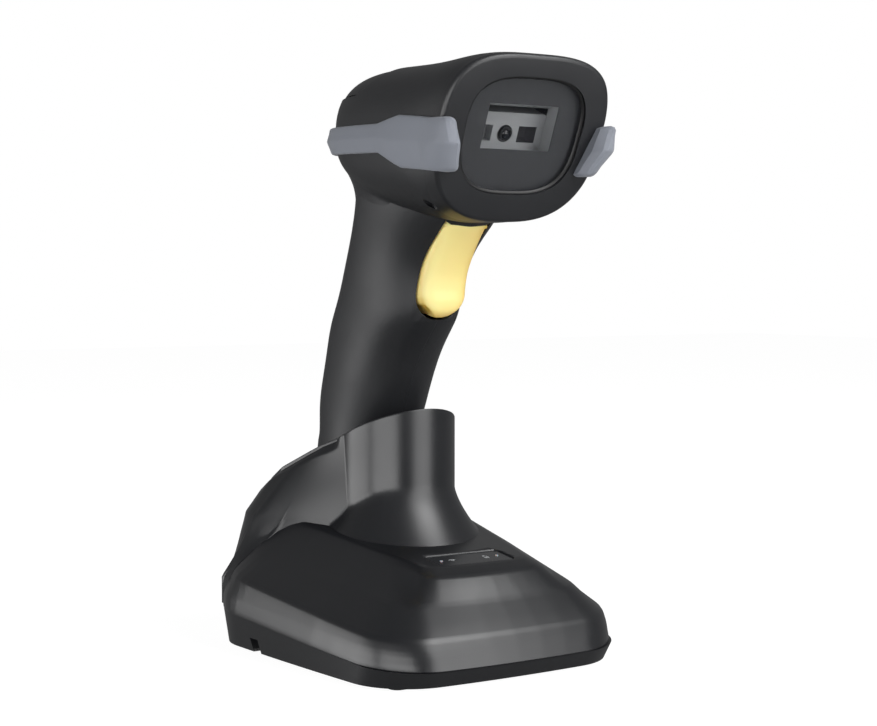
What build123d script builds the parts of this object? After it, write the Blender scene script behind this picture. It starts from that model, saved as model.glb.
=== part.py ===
from build123d import *
from math import atan, cos, pi, radians, sin
import os

# A cordless barcode scanner standing in its charging cradle.
# Millimetres. X is across, -Y is the way the scanner looks, +Z is up, and the cradle's feet stand on z = 0.

os.makedirs("parts", exist_ok=True)

# ---- Walls and clearances ----
wall = 2.2                    # scanner housing
cradle_wall = 2.4             # cradle housing
seat_gap = 0.1                # between pieces fixed to one another
slide_gap = 0.6               # handle in the cradle's pocket
rest_gap = 0.3                # between bodies that rest on each other
running_gap = 0.05            # pins and plungers in their bores
outline_points = 20           # points of each closed outline
past = 40.0                   # how far cuts and inner supports are carried past the housing

# ---- Scanner head: the window's plane leans forward at its top ----
window_y, window_z = -56.9, 176.1
window_tilt = 22.4
bezel_depth = 8.0             # from the face to the end of the spigot in the housing
bezel_seam_depth = 4.1        # from the face to the seam, at the window's centre
bezel_seam_lean = 4.5         # the seam leans this much more than the face
bezel_round = 1.5
# sections of the head: y, z, lean, half width, reach up, reach down, squareness up and down,
# and how far the section's y and z move for each millimetre that the head is grown
head_stations = [
    (window_y, window_z, window_tilt, 31.9, 24.7, 30.9, 3.2, 2.6, -0.92, -0.38),
    (-38.0, 175.0, 13.0, 31.9, 25.4, 28.2, 3.2, 2.6, 0.0, 0.0),
    (-14.0, 175.0, 0.0, 31.2, 25.2, 25.0, 3.1, 2.5, 0.0, 0.0),
    (8.0, 176.0, 0.0, 28.8, 24.0, 20.0, 3.0, 2.5, 0.2, 0.0),
    (18.0, 177.0, 0.0, 25.4, 21.2, 16.4, 2.8, 2.4, 0.6, 0.0),
    (24.2, 178.0, 0.0, 20.4, 17.0, 13.0, 2.6, 2.4, 0.9, 0.0),
    (26.6, 178.5, 0.0, 14.4, 11.8, 9.4, 2.4, 2.4, 1.0, 0.0),
]
# an oval slot pressed into either flank, behind the bezel
flank_slot_y, flank_slot_z, flank_slot_turn = -39.5, 152.2, 29.0
flank_slot_length, flank_slot_width, flank_slot_seat = 7.0, 2.4, 21.6

# ---- Handle: level sections, height, centre, half width, reach back, reach forward ----
handle_bottom = 42.0
handle_lean = 0.2             # forward run of the handle for each millimetre of height
pocket_top = 76.0             # the handle is a straight prism up to here
grip_half, grip_back, grip_front = 17.2, 17.2, 20.1
grip_y = 45.1                 # centre of the handle at its bottom
grip_stations = [
    (84.0, 37.2, 17.3, 18.4, 22.8),
    (95.0, 34.0, 17.4, 19.0, 25.4),
    (106.0, 30.0, 17.5, 20.0, 29.0),
    (116.0, 26.0, 17.7, 19.6, 34.0),
    (127.0, 20.0, 18.0, 19.5, 31.4),
    (136.0, 16.0, 18.6, 18.6, 31.6),
    (144.0, 12.0, 19.6, 17.6, 35.6),
    (153.0, 7.0, 21.4, 16.9, 39.0),
    (165.0, 4.0, 23.0, 18.6, 38.0),
]
grip_power = 2.3

# ---- Window, mask and gasket, from the bezel's face inwards ----
opening_half, opening_up, opening_down, opening_power = 22.8, 17.4, 21.7, 3.0
window_recess = 1.2
pane_lip = 1.7
pane_thickness = 1.5
mask_thickness = 0.3
gasket_thickness = 1.2
gasket_width = 2.0
clear_width, clear_height = 27.0, 14.9

# ---- Scan engine, in the window's plane ----
engine_width, engine_height, engine_length = 30.0, 14.0, 16.0
engine_drop = 4.4             # engine centre below the window's centre
engine_depth = 10.0           # engine face behind the bezel's face
lens_radius, lens_length, lens_proud = 2.9, 7.0, 0.8
side_lens_width, side_lens_height, side_lens_length = 7.0, 5.4, 3.0
side_lens_x = 8.6
bracket_thickness = 1.2
bracket_margin = 4.0

# ---- Bumper band: height of its edges along the head ----
bumper_thickness = 2.3
bumper_gap_half = 25.7        # half the gap between its ends, on the bezel's face
bumper_lip = 5.3              # how far its ends stand in front of the bezel's face
bumper_lip_grow = 2.1         # how far they stand off the head's sides
bumper_top = [(45.0, 181.6), (-21.8, 179.2), (-34.5, 181.0), (-80.0, 176.0)]
bumper_bottom = [(-80.0, 160.2), (-34.5, 164.4), (-21.8, 169.9), (45.0, 172.6)]

# ---- Rear cap over the top of the head ----
cap_outline = [(-12.0, 215.0), (-9.6, 196.4), (-4.4, 192.2), (1.0, 190.3), (40.0, 190.3), (40.0, 215.0)]
cap_thickness = 1.8
status_lens_y, status_lens_radius = 8.0, 2.2

# ---- Trigger ----
trigger_width = 17.4
trigger_gap = 0.5
trigger_pivot_y, trigger_pivot_z = -14.0, 153.0
trigger_pin_radius = 1.5
trigger_boss_radius = 3.6
trigger_pin_reach = 14.0
trigger_top = (-24.6, 146.3)
trigger_knee = (-15.5, 133.6)
trigger_toe = (-13.2, 121.0)
trigger_foot = (-9.4, 115.6)
trigger_heel = (-1.2, 117.0)
trigger_back = 0.0            # the plane that pushes the switch
trigger_round = 3.4           # along the edges that the finger meets
trigger_heel_rise, trigger_back_reach = 2.0, 10.0
slot_front, slot_back, slot_low, slot_high = -25.6, 6.0, 114.6, 151.6

# ---- Trigger switch and its board ----
board_thickness = 1.2
switch_z, switch_width, switch_height, switch_depth = 127.0, 6.0, 6.0, 6.0
switch_board_y = 10.0
switch_board_width, switch_board_low, switch_board_high = 15.0, 117.0, 137.0
plunger_radius, plunger_inside = 1.0, 2.0
spring_z, spring_radius, spring_wire, spring_pitch = 120.8, 1.9, 0.3, 1.5

# ---- Main board and what it carries ----
main_board_z, main_board_width, main_board_front, main_board_back = 186.4, 45.0, -31.0, 12.0
rail_reach, rail_thickness = 20.0, 1.5
radio_width, radio_length, radio_height, radio_y = 14.0, 18.0, 2.2, 0.0
buzzer_radius, buzzer_hole_radius, buzzer_height, buzzer_y = 6.0, 1.2, 4.0, -22.0

# ---- Battery ----
battery_radius, battery_length, battery_tip_radius, battery_tip = 9.2, 62.0, 3.0, 1.0
battery_y, battery_z, battery_lean = 44.0, 58.0, 11.8
battery_ribs = (10.0, 48.0)   # along the cell
rib_thickness = 2.0
ledge_lap = 1.6               # how far ledges and ribs reach under what they carry

# ---- Handle's end cap and charging contacts ----
end_cap_thickness, plug_height = 2.0, 5.0
contact_pitch, contact_count = 4.5, 4
pad_radius, pad_recess, pad_thickness, pad_recess_radius = 1.5, 1.2, 1.4, 1.9

# ---- Housing screws: place, and how far out the head sits ----
body_screw_places = [(23.0, 84.0, 8.0), (13.5, 106.0, 8.0), (12.0, 158.0, 12.0)]
screw_radius, screw_head_radius, screw_head_height, screw_length = 1.25, 2.5, 1.8, 13.0
screw_boss_radius = 3.4

# ---- Cradle: rising levels of the housing ----
# height at y = 0, rise to the rear, half widths front and rear, front, rear, corner radii front and rear
foot_height = 1.0
tray_level = (foot_height, 0.0, 46.8, 53.4, -52.6, 63.2, 22.0, 22.0)
seam_level = (10.5, 0.079, 46.8, 58.8, -55.4, 65.4, 21.0, 29.0)
cradle_levels = [
    (21.8, 0.118, 45.0, 58.2, -52.2, 64.6, 17.0, 27.0),
    (29.8, 0.11, 35.2, 47.5, -43.8, 61.2, 9.0, 24.0),
    (38.1, 0.14, 23.4, 36.6, -38.2, 57.4, 5.0, 16.0),
    (39.9, 0.14, 20.4, 34.0, -33.2, 56.4, 4.0, 15.0),
]
front_crown, side_crown = 2.6, 1.2    # how far the front and the sides bow outwards
# ---- Cradle: collar, flare and shoulders round the pocket ----
collar_radius, collar_y, collar_bore = 21.0, 20.1, 18.5
collar_bottom = 50.0
flare_top, flare_foot_radius, flare_foot_z = 57.6, 31.4, 38.0
flare_hollow = 1.8            # how far the flare's curve sags below a straight cone
rim_z, rim_fall = 84.3, 0.44  # the rim's height at y = 0 and its fall to the rear
rim_break, rim_rear_fall = 30.0, 0.59    # behind this y the rim falls more steeply
shoulder_front = 18.0
shoulder_low = (28.0, 21.0, 47.0, 42.0, 65.3, 18.0)
shoulder_mid = (46.0, 20.5, 43.0, 44.0, 65.2, 16.0)
shoulder_rim = (19.6, 33.0, 47.0, 64.2, 12.0)

# ---- Cradle: tray, feet, board and weight ----
tray_floor = 2.0
foot_length, foot_width, foot_sink, foot_round = 16.0, 9.0, 0.5, 3.0
foot_places = [(-33.0, -40.0), (33.0, -40.0), (-32.0, 55.0), (32.0, 55.0)]
tray_screw_places = [(-34.0, -28.0), (34.0, -28.0), (-44.0, 40.0), (44.0, 40.0)]
tray_boss_radius, tray_screw_length = 4.0, 9.0
cable_y, cable_width, cable_height = 26.0, 5.0, 6.0
bay_half, bay_front, bay_length, bay_height, bay_wall = 9.0, 22.0, 28.0, 10.0, 1.6
tray_rim_past = 1.0
cradle_board_width, cradle_board_length, cradle_board_y = 34.0, 30.0, 4.0
post_radius = 2.5
socket_width, socket_height, socket_length, socket_wall = 9.0, 3.4, 7.4, 0.4
socket_z = 5.0
cradle_board_z = socket_z + socket_height / 2
ballast_width, ballast_length, ballast_height, ballast_y = 52.0, 30.0, 5.0, -28.0

# ---- Cradle: indicator panel and charging pins ----
panel_width, panel_length, panel_thickness, panel_y = 30.0, 11.5, 0.8, -26.2
panel_round = 1.6
light_x, light_radius, light_length = 11.2, 1.0, 4.0
block_width, block_length, block_height = 22.0, 7.0, 9.0
pin_radius, pin_proud, pin_round = 0.8, 1.3, 0.48
pin_head_height, block_base = 1.0, 1.0
pin_head_radius, pin_spring_wire, pin_spring_pitch = 1.15, 0.18, 0.7


# ---- Outlines and solids that several pieces share ----
def signed_power(value, power):
    """value raised to power, with its sign kept."""
    return abs(value) ** power * (1 if value >= 0 else -1)


def squircle(half_width, up, down, power_up, power_down):
    """A closed superellipse with its own reach and squareness above and below its centre."""
    points = []
    for step in range(outline_points):
        turn = 2 * pi * step / outline_points
        reach, power = (up, power_up) if sin(turn) >= 0 else (down, power_down)
        points.append((half_width * signed_power(cos(turn), 2 / power),
                       reach * signed_power(sin(turn), 2 / power)))
    with BuildSketch() as outline:
        with BuildLine():
            Spline(*points, periodic=True)
        make_face()
    return outline.sketch


def lofted(sections, ruled=False):
    """A solid through a list of (plane, outline) pairs."""
    with BuildPart() as body:
        for plane, outline in sections:
            with BuildSketch(plane):
                add(outline)
        loft(ruled=ruled)
    return body.part


def facing(y, z, lean):
    """A plane that looks forward, its top leaning forward by lean degrees."""
    return Plane(origin=(0, y, z), x_dir=(1, 0, 0), z_dir=(0, -cos(radians(lean)), -sin(radians(lean))))


def level(z, rise):
    """A plane that looks up, rising to the rear."""
    turn = atan(rise)
    return Plane(origin=(0, 0, z), x_dir=(1, 0, 0), z_dir=(0, -sin(turn), cos(turn)))


def head_solid(grow):
    """The head, grown by a distance all round."""
    sections = []
    for y, z, lean, half, up, down, square_up, square_down, push_y, push_z in head_stations:
        plane = facing(y + grow * push_y, z + grow * push_z, lean)
        sections.append((plane, squircle(half + grow, up + grow, down + grow, square_up, square_down)))
    return lofted(sections)


def grip_section(z, y, half, back, front, grow):
    """One level section of the handle."""
    outline = squircle(half + grow, back + grow, front + grow, grip_power, grip_power)
    return (Plane.XY.offset(z).move(Location((0, y, 0))), outline)


def prism_section(z, grow):
    """A level section of the handle's straight lower part, on its leaning centre line."""
    return grip_section(z, grip_y - handle_lean * (z - handle_bottom), grip_half, grip_back, grip_front, grow)


def handle_prism(low, high, grow):
    """The handle's straight lower part between two heights."""
    return lofted([prism_section(low, grow), prism_section(high, grow)], ruled=True)


def handle_solid(grow, low):
    """The handle from its bottom up into the head."""
    upper = [prism_section(pocket_top - 5, grow), prism_section(pocket_top, grow)]
    upper += [grip_section(*station, grow) for station in grip_stations]
    return handle_prism(low, pocket_top - 5, grow) + lofted(upper)


def trapezoid(front_half, rear_half, front, rear, front_radius, rear_radius):
    """A rounded outline, wider at its rear, whose front and sides bow outwards."""
    corner = front + front_crown
    with BuildSketch() as outline:
        with BuildLine():
            ThreePointArc((-front_half, corner), (0, front), (front_half, corner))
            SagittaArc((front_half, corner), (rear_half, rear), -side_crown)
            Line((rear_half, rear), (-rear_half, rear))
            SagittaArc((-rear_half, rear), (-front_half, corner), -side_crown)
        make_face()
        fillet(outline.vertices().group_by(Axis.Y)[0], front_radius)
        fillet(outline.vertices().group_by(Axis.Y)[-1], rear_radius)
    return outline.sketch


def cradle_section(values, inset=0.0, drop=0.0):
    """One level of the cradle's housing, taken in by inset and lowered by drop."""
    z, rise, front_half, rear_half, front, rear, front_radius, rear_radius = values
    outline = trapezoid(
        front_half - inset, rear_half - inset, front + inset, rear - inset,
        front_radius - min(inset, front_radius / 2), rear_radius - inset,
    )
    return (level(z - drop, rise), outline)


def shoulder_outline(front_half, side_half, side_y, rear, radius):
    """Outline of the shoulders: narrow at the collar, wide and rounded at the rear."""
    with BuildSketch() as outline:
        with BuildLine():
            FilletPolyline(
                (-front_half, shoulder_front), (front_half, shoulder_front), (side_half, side_y),
                (side_half, rear), (-side_half, rear), (-side_half, side_y),
                radius=[1.0, 1.0, 8.0, radius, radius, 8.0], close=True,
            )
        make_face()
    return outline.sketch


def shoulder_solid(inset):
    """The shoulders up to the rim, taken in by inset."""
    sections = []
    for z, front_half, side_half, side_y, rear, radius in (shoulder_low, shoulder_mid):
        outline = shoulder_outline(front_half - inset, side_half - inset, side_y, rear - inset,
                                   radius - inset)
        sections.append((Plane.XY.offset(z), outline))
    front_half, side_half, side_y, rear, radius = shoulder_rim
    outline = shoulder_outline(front_half - inset, side_half - inset, side_y, rear - inset, radius - inset)
    sections.append((level(rim_z - inset, -rim_fall), outline))
    return lofted(sections, ruled=True)


def collar_solid(inset):
    """The collar's tube and the flare at its foot, taken in by inset."""
    with BuildPart() as body:
        with BuildSketch(Plane.YZ):
            with BuildLine():
                low = (collar_y + flare_foot_radius - inset, flare_foot_z)
                high = (collar_y + collar_radius - inset, flare_top)
                Polyline((collar_y, foot_height), (low[0], foot_height), low)
                SagittaArc(low, high, flare_hollow)
                Polyline(high, (high[0], rim_z + 5), (collar_y, rim_z + 5), (collar_y, foot_height))
            make_face()
        revolve(axis=Axis((0, collar_y, 0), (0, 0, 1)))
    return body.part


def coil(radius, wire, pitch, length, plane):
    """A round-wire spring standing on a plane."""
    with BuildPart() as spring:
        with BuildLine() as path:
            Helix(pitch=pitch, height=length, radius=radius, center=plane.origin, direction=plane.z_dir)
        with BuildSketch(Plane(origin=path.line @ 0, z_dir=path.line % 0)):
            Circle(wire)
        sweep(is_frenet=True)
    return spring.part


def export(name, piece):
    """Label a finished piece and write its file."""
    piece.label = name
    export_step(piece, f"parts/{name}.step")


face = facing(window_y, window_z, window_tilt)
bezel_seam = facing(window_y + bezel_seam_depth * cos(radians(window_tilt)),
                    window_z + bezel_seam_depth * sin(radians(window_tilt)), window_tilt + bezel_seam_lean)
head = head_solid(0.0)
head_hollow = head_solid(-wall)
handle = handle_solid(0.0, handle_bottom)
handle_hollow = handle_solid(-wall, handle_bottom - 1)

# ---- Front bezel: a ring with a lip round the window, and a spigot that fits in the housing ----
with BuildPart() as bezel_spigot:
    add(head_solid(-wall - seat_gap))
    split(bisect_by=face.offset(-bezel_depth), keep=Keep.TOP)
with BuildPart() as front_bezel:
    add(head)
    fillet(front_bezel.edges().sort_by(SortBy.LENGTH)[-1], bezel_round)
    split(bisect_by=bezel_seam, keep=Keep.TOP)
    add(bezel_spigot.part)
    with BuildSketch(face.offset(bezel_round)):
        add(squircle(opening_half, opening_up, opening_down, opening_power, opening_power))
    extrude(amount=-bezel_depth - 2 * bezel_round, mode=Mode.SUBTRACT)
    with BuildSketch(face.offset(-window_recess)):
        add(squircle(opening_half + pane_lip, opening_up + pane_lip, opening_down + pane_lip,
                     opening_power, opening_power))
    extrude(amount=-bezel_depth, mode=Mode.SUBTRACT)
export("front_bezel", front_bezel.part)


def pane_outline(inset):
    """Outline of the pieces stacked behind the bezel's lip."""
    reach = pane_lip - seat_gap - inset
    return squircle(opening_half + reach, opening_up + reach, opening_down + reach, opening_power,
                    opening_power)


# ---- Window pane, its printed mask and the gasket behind them ----
with BuildPart() as window_pane:
    with BuildSketch(face.offset(-window_recess)):
        add(pane_outline(0))
    extrude(amount=-pane_thickness)
export("window_pane", window_pane.part)

with BuildPart() as window_mask:
    with BuildSketch(face.offset(-window_recess - pane_thickness)):
        add(pane_outline(0))
        Rectangle(clear_width, clear_height, mode=Mode.SUBTRACT)
    extrude(amount=-mask_thickness)
export("window_mask", window_mask.part)

with BuildPart() as window_gasket:
    with BuildSketch(face.offset(-window_recess - pane_thickness - mask_thickness)):
        add(pane_outline(0))
        add(pane_outline(gasket_width), mode=Mode.SUBTRACT)
    extrude(amount=-gasket_thickness)
export("window_gasket", window_gasket.part)

# ---- Bumper band round the head ----
bumper_inner = head_solid(seat_gap)
bumper_outer = head_solid(bumper_thickness)
with BuildPart() as bumper_band:
    add(bumper_outer)
    add(bumper_inner, mode=Mode.SUBTRACT)
    # the lips that stand in front of the face and guard the window
    with BuildSketch(face.offset(seat_gap)):
        front_half, front_up, front_down, front_power_up, front_power_down = head_stations[0][3:8]
        add(squircle(front_half + bumper_lip_grow, front_up + bumper_lip_grow, front_down + bumper_lip_grow,
                     front_power_up, front_power_down))
    extrude(amount=bumper_lip - seat_gap)
    with BuildSketch(Plane.YZ):
        with BuildLine():
            Polyline(*bumper_top, *bumper_bottom, close=True)
        make_face()
    extrude(amount=past, both=True, mode=Mode.INTERSECT)
    with BuildSketch(Plane.XZ.offset(-bumper_top[1][0])):
        with Locations((0, window_z)):
            Rectangle(2 * bumper_gap_half, past)
    extrude(amount=2 * past, mode=Mode.SUBTRACT)
export("bumper_band", bumper_band.part)


# ---- Screw, pin and rail supports inside the housing ----
with BuildPart() as inner_posts:
    for y, z, seat in body_screw_places:
        with BuildSketch(Plane.YZ):
            with Locations((y, z)):
                Circle(screw_boss_radius)
        extrude(amount=past, both=True)
    # bosses for the trigger's pin, either side of the trigger
    for side in (-1, 1):
        with BuildSketch(Plane.YZ.offset(side * (trigger_width / 2 + trigger_gap))):
            with Locations((trigger_pivot_y, trigger_pivot_z)):
                Circle(trigger_boss_radius)
        extrude(amount=side * past)
        # rails under the main board
        with Locations((side * (rail_reach + past / 2), (main_board_front + main_board_back) / 2,
                        main_board_z - rail_thickness / 2)):
            Box(past, main_board_back - main_board_front, rail_thickness)
        # ribs behind the switch board
        with Locations((side * (switch_board_width / 2 - ledge_lap + past / 2),
                        switch_board_y + board_thickness + rib_thickness / 2,
                        (switch_board_low + switch_board_high) / 2)):
            Box(past, rib_thickness, switch_board_high - switch_board_low - rib_thickness)
        # ledges under the engine's bracket
        with BuildSketch(face.offset(-engine_depth)):
            with Locations((side * (engine_width / 2 + bracket_margin - ledge_lap + past / 2),
                            -engine_drop - engine_height / 2 - bracket_thickness - rib_thickness / 2)):
                Rectangle(past, rib_thickness)
        extrude(amount=-engine_length)
battery_line = Plane(origin=(0, battery_y, battery_z),
                     z_dir=(0, -sin(radians(battery_lean)), cos(radians(battery_lean))))
with BuildPart() as battery_ring:
    for place in battery_ribs:
        with BuildSketch(battery_line.offset(place)):
            Rectangle(2 * past, 2 * past)
            Circle(battery_radius + seat_gap, mode=Mode.SUBTRACT)
        extrude(amount=rib_thickness)
posts = (inner_posts.part + battery_ring.part) & (head + handle)

# ---- Space that the trigger moves in, the rear cap's seat and the side slots ----
with BuildPart() as trigger_slot:
    with BuildSketch(Plane.YZ):
        with Locations(((slot_front + slot_back) / 2, (slot_low + slot_high) / 2)):
            Rectangle(slot_back - slot_front, slot_high - slot_low)
    extrude(amount=trigger_width / 2 + trigger_gap, both=True)
with BuildPart() as cap_block:
    with BuildSketch(Plane.YZ):
        Polygon(*cap_outline, align=None)
    extrude(amount=past, both=True)
cap_inner = head_solid(-cap_thickness)


def body_half(side):
    """Half of the scanner's housing, side -1 for left or 1 for right."""
    with BuildPart() as half:
        add(head)
        add(handle)
        add(head_hollow, mode=Mode.SUBTRACT)
        add(handle_hollow, mode=Mode.SUBTRACT)
        add(posts)
        split(bisect_by=bezel_seam, keep=Keep.BOTTOM)
        split(bisect_by=Plane.XY.offset(handle_bottom + end_cap_thickness), keep=Keep.TOP)
        add(trigger_slot.part, mode=Mode.SUBTRACT)
        add(cap_block.part, mode=Mode.SUBTRACT)
        with BuildSketch(Plane.YZ):
            with Locations((trigger_pivot_y, trigger_pivot_z)):
                Circle(trigger_pin_radius)
        extrude(amount=trigger_pin_reach, both=True, mode=Mode.SUBTRACT)
        for y, z, seat in body_screw_places:
            with BuildSketch(Plane.YZ.offset(seat)):
                with Locations((y, z)):
                    Circle(screw_head_radius + seat_gap)
            extrude(amount=past, mode=Mode.SUBTRACT)
            with BuildSketch(Plane.YZ.offset(seat)):
                with Locations((y, z)):
                    Circle(screw_radius)
            extrude(amount=-screw_length, mode=Mode.SUBTRACT)
        with BuildSketch(Plane.YZ.offset(side * flank_slot_seat)):
            with Locations(Location((flank_slot_y, flank_slot_z), flank_slot_turn)):
                SlotOverall(flank_slot_length, flank_slot_width)
        extrude(amount=side * past, mode=Mode.SUBTRACT)
        split(bisect_by=Plane.YZ, keep=Keep.TOP if side > 0 else Keep.BOTTOM)
    return half.part


export("left_body_shell", body_half(-1))
export("right_body_shell", body_half(1))

with BuildPart() as body_screws:
    for y, z, seat in body_screw_places:
        with BuildSketch(Plane.YZ.offset(seat)):
            with Locations((y, z)):
                Circle(screw_head_radius)
        extrude(amount=screw_head_height)
        with BuildSketch(Plane.YZ.offset(seat)):
            with Locations((y, z)):
                Circle(screw_radius)
        extrude(amount=-screw_length)
export("body_screws", body_screws.part)

# ---- Rear cap and its status lens ----
with BuildPart() as rear_top_cap:
    add(head)
    add(cap_inner, mode=Mode.SUBTRACT)
    add(cap_block.part, mode=Mode.INTERSECT)
    with BuildSketch(Plane.XY.offset(window_z)):
        with Locations((0, status_lens_y)):
            Circle(status_lens_radius)
    extrude(amount=past, mode=Mode.SUBTRACT)
export("rear_top_cap", rear_top_cap.part)

with BuildPart() as status_lens:
    add(head)
    add(cap_inner, mode=Mode.SUBTRACT)
    with BuildSketch(Plane.XY.offset(window_z)):
        with Locations((0, status_lens_y)):
            Circle(status_lens_radius)
    extrude(amount=past, mode=Mode.INTERSECT)
export("status_lens", status_lens.part)

# ---- Scan engine: housing, lenses and bracket ----
engine_face = face.offset(-engine_depth)
with BuildPart() as engine_housing:
    with BuildSketch(engine_face):
        with Locations((0, -engine_drop)):
            RectangleRounded(engine_width, engine_height, 1.0)
    extrude(amount=-engine_length)
    with BuildSketch(engine_face):
        with Locations((0, -engine_drop)):
            Circle(lens_radius)
    extrude(amount=-lens_length, mode=Mode.SUBTRACT)
    with BuildSketch(engine_face):
        with Locations((-side_lens_x, -engine_drop), (side_lens_x, -engine_drop)):
            Rectangle(side_lens_width, side_lens_height)
    extrude(amount=-side_lens_length, mode=Mode.SUBTRACT)
export("engine_housing", engine_housing.part)

with BuildPart() as camera_lens:
    with BuildSketch(engine_face.offset(-lens_length)):
        with Locations((0, -engine_drop)):
            Circle(lens_radius)
    extrude(amount=lens_length + lens_proud)
    fillet(camera_lens.edges().filter_by(GeomType.CIRCLE).sort_by(Axis.Y)[0], 0.5)
export("camera_lens", camera_lens.part)

for name, across in (("illumination_lens", -side_lens_x), ("aimer_lens", side_lens_x)):
    with BuildPart() as side_lens:
        with BuildSketch(engine_face.offset(-side_lens_length)):
            with Locations((across, -engine_drop)):
                Rectangle(side_lens_width, side_lens_height)
        extrude(amount=side_lens_length)
    export(name, side_lens.part)

with BuildPart() as engine_bracket:
    with BuildSketch(engine_face):
        with Locations((0, -engine_drop - engine_height / 2 - bracket_thickness / 2)):
            Rectangle(engine_width + 2 * bracket_margin, bracket_thickness)
        for side in (-1, 1):
            with Locations((side * (engine_width + bracket_thickness) / 2, -engine_drop - engine_height / 4)):
                Rectangle(bracket_thickness, engine_height / 2)
    extrude(amount=-engine_length)
export("engine_bracket", engine_bracket.part)

# ---- Main board, radio module and buzzer ----
with BuildPart() as main_board:
    with Locations((0, (main_board_front + main_board_back) / 2, main_board_z + board_thickness / 2)):
        Box(main_board_width, main_board_back - main_board_front, board_thickness)
export("main_board", main_board.part)

with BuildPart() as radio_module:
    with Locations((0, radio_y, main_board_z + board_thickness + radio_height / 2)):
        Box(radio_width, radio_length, radio_height)
export("radio_module", radio_module.part)

with BuildPart() as buzzer:
    with BuildSketch(Plane.XY.offset(main_board_z + board_thickness)):
        with Locations((0, buzzer_y)):
            Circle(buzzer_radius)
    extrude(amount=buzzer_height)
    with BuildSketch(Plane.XY.offset(main_board_z + board_thickness + buzzer_height)):
        with Locations((0, buzzer_y)):
            Circle(buzzer_hole_radius)
    extrude(amount=-buzzer_height / 2, mode=Mode.SUBTRACT)
export("buzzer", buzzer.part)

# ---- Battery cell ----
with BuildPart() as battery_cell:
    with BuildSketch(battery_line):
        Circle(battery_radius)
    extrude(amount=battery_length)
    with BuildSketch(battery_line.offset(battery_length)):
        Circle(battery_tip_radius)
    extrude(amount=battery_tip)
export("battery_cell", battery_cell.part)

# ---- End cap of the handle and the charging contacts in it ----
contact_xs = [contact_pitch * (i - (contact_count - 1) / 2) for i in range(contact_count)]
end_cap_top = handle_bottom + end_cap_thickness + plug_height
plug_outer = handle_prism(handle_bottom + end_cap_thickness, end_cap_top, -wall - seat_gap)
plug_inner = handle_prism(handle_bottom + end_cap_thickness, end_cap_top + 1, -2 * wall)
with BuildPart() as handle_end_cap:
    add(handle_prism(handle_bottom, handle_bottom + end_cap_thickness, 0))
    add(plug_outer)
    add(plug_inner, mode=Mode.SUBTRACT)
    with BuildSketch(Plane.XY.offset(handle_bottom)):
        with Locations((0, grip_y)):
            SlotOverall(contact_pitch * contact_count + 2 * pad_recess_radius, 2 * pad_recess_radius + 2)
    extrude(amount=pad_recess + pad_thickness + wall)
    with BuildSketch(Plane.XY.offset(handle_bottom)):
        with Locations(*[(x, grip_y) for x in contact_xs]):
            Circle(pad_recess_radius)
    extrude(amount=pad_recess, mode=Mode.SUBTRACT)
    with BuildSketch(Plane.XY.offset(handle_bottom + pad_recess)):
        with Locations(*[(x, grip_y) for x in contact_xs]):
            Circle(pad_radius)
    extrude(amount=pad_thickness, mode=Mode.SUBTRACT)
export("handle_end_cap", handle_end_cap.part)

with BuildPart() as charge_contacts:
    with BuildSketch(Plane.XY.offset(handle_bottom + pad_recess)):
        with Locations(*[(x, grip_y) for x in contact_xs]):
            Circle(pad_radius)
    extrude(amount=pad_thickness)
export("charge_contacts", charge_contacts.part)

# ---- Trigger, its pin and its spring ----
with BuildPart() as trigger:
    with BuildSketch(Plane.YZ):
        with BuildLine():
            Spline(trigger_top, trigger_knee, trigger_toe, trigger_foot, trigger_heel,
                   tangents=[(1.1, -1), (1, 0.5)])
            Polyline(trigger_heel, (trigger_back, trigger_heel[1] + trigger_heel_rise),
                     (trigger_back, switch_z + trigger_back_reach),
                     (trigger_pivot_y + trigger_boss_radius, trigger_pivot_z),
                     (trigger_pivot_y - trigger_boss_radius, trigger_pivot_z), trigger_top)
        make_face()
        with Locations((trigger_pivot_y, trigger_pivot_z)):
            Circle(trigger_boss_radius)
    extrude(amount=trigger_width / 2, both=True)
    fillet(trigger.edges().filter_by(GeomType.BSPLINE), trigger_round)
    with BuildSketch(Plane.YZ):
        with Locations((trigger_pivot_y, trigger_pivot_z)):
            Circle(trigger_pin_radius + running_gap)
    extrude(amount=trigger_width, both=True, mode=Mode.SUBTRACT)
export("trigger", trigger.part)

with BuildPart() as trigger_pin:
    with BuildSketch(Plane.YZ):
        with Locations((trigger_pivot_y, trigger_pivot_z)):
            Circle(trigger_pin_radius)
    extrude(amount=trigger_pin_reach, both=True)
export("trigger_pin", trigger_pin.part)

spring_plane = Plane(origin=(0, trigger_back + 2 * spring_wire, spring_z), z_dir=(0, 1, 0))
spring_length = switch_board_y - trigger_back - 4 * spring_wire
export("trigger_spring", coil(spring_radius, spring_wire, spring_pitch, spring_length, spring_plane))

# ---- Switch, its plunger and its board ----
switch_face = switch_board_y - switch_depth
with BuildPart() as trigger_switch:
    with Locations((0, switch_board_y - switch_depth / 2, switch_z)):
        Box(switch_width, switch_depth, switch_height)
    with BuildSketch(Plane.XZ.offset(-switch_face)):
        with Locations((0, switch_z)):
            Circle(plunger_radius + running_gap)
    extrude(amount=-switch_depth + 0.6, mode=Mode.SUBTRACT)
export("trigger_switch", trigger_switch.part)

with BuildPart() as switch_plunger:
    with BuildSketch(Plane.XZ.offset(-trigger_back - rest_gap)):
        with Locations((0, switch_z)):
            Circle(plunger_radius)
    extrude(amount=-(switch_face - trigger_back - rest_gap + plunger_inside))
export("switch_plunger", switch_plunger.part)

with BuildPart() as trigger_board:
    with Locations((0, switch_board_y + board_thickness / 2, (switch_board_low + switch_board_high) / 2)):
        Box(switch_board_width, board_thickness, switch_board_high - switch_board_low)
export("trigger_board", trigger_board.part)

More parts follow.
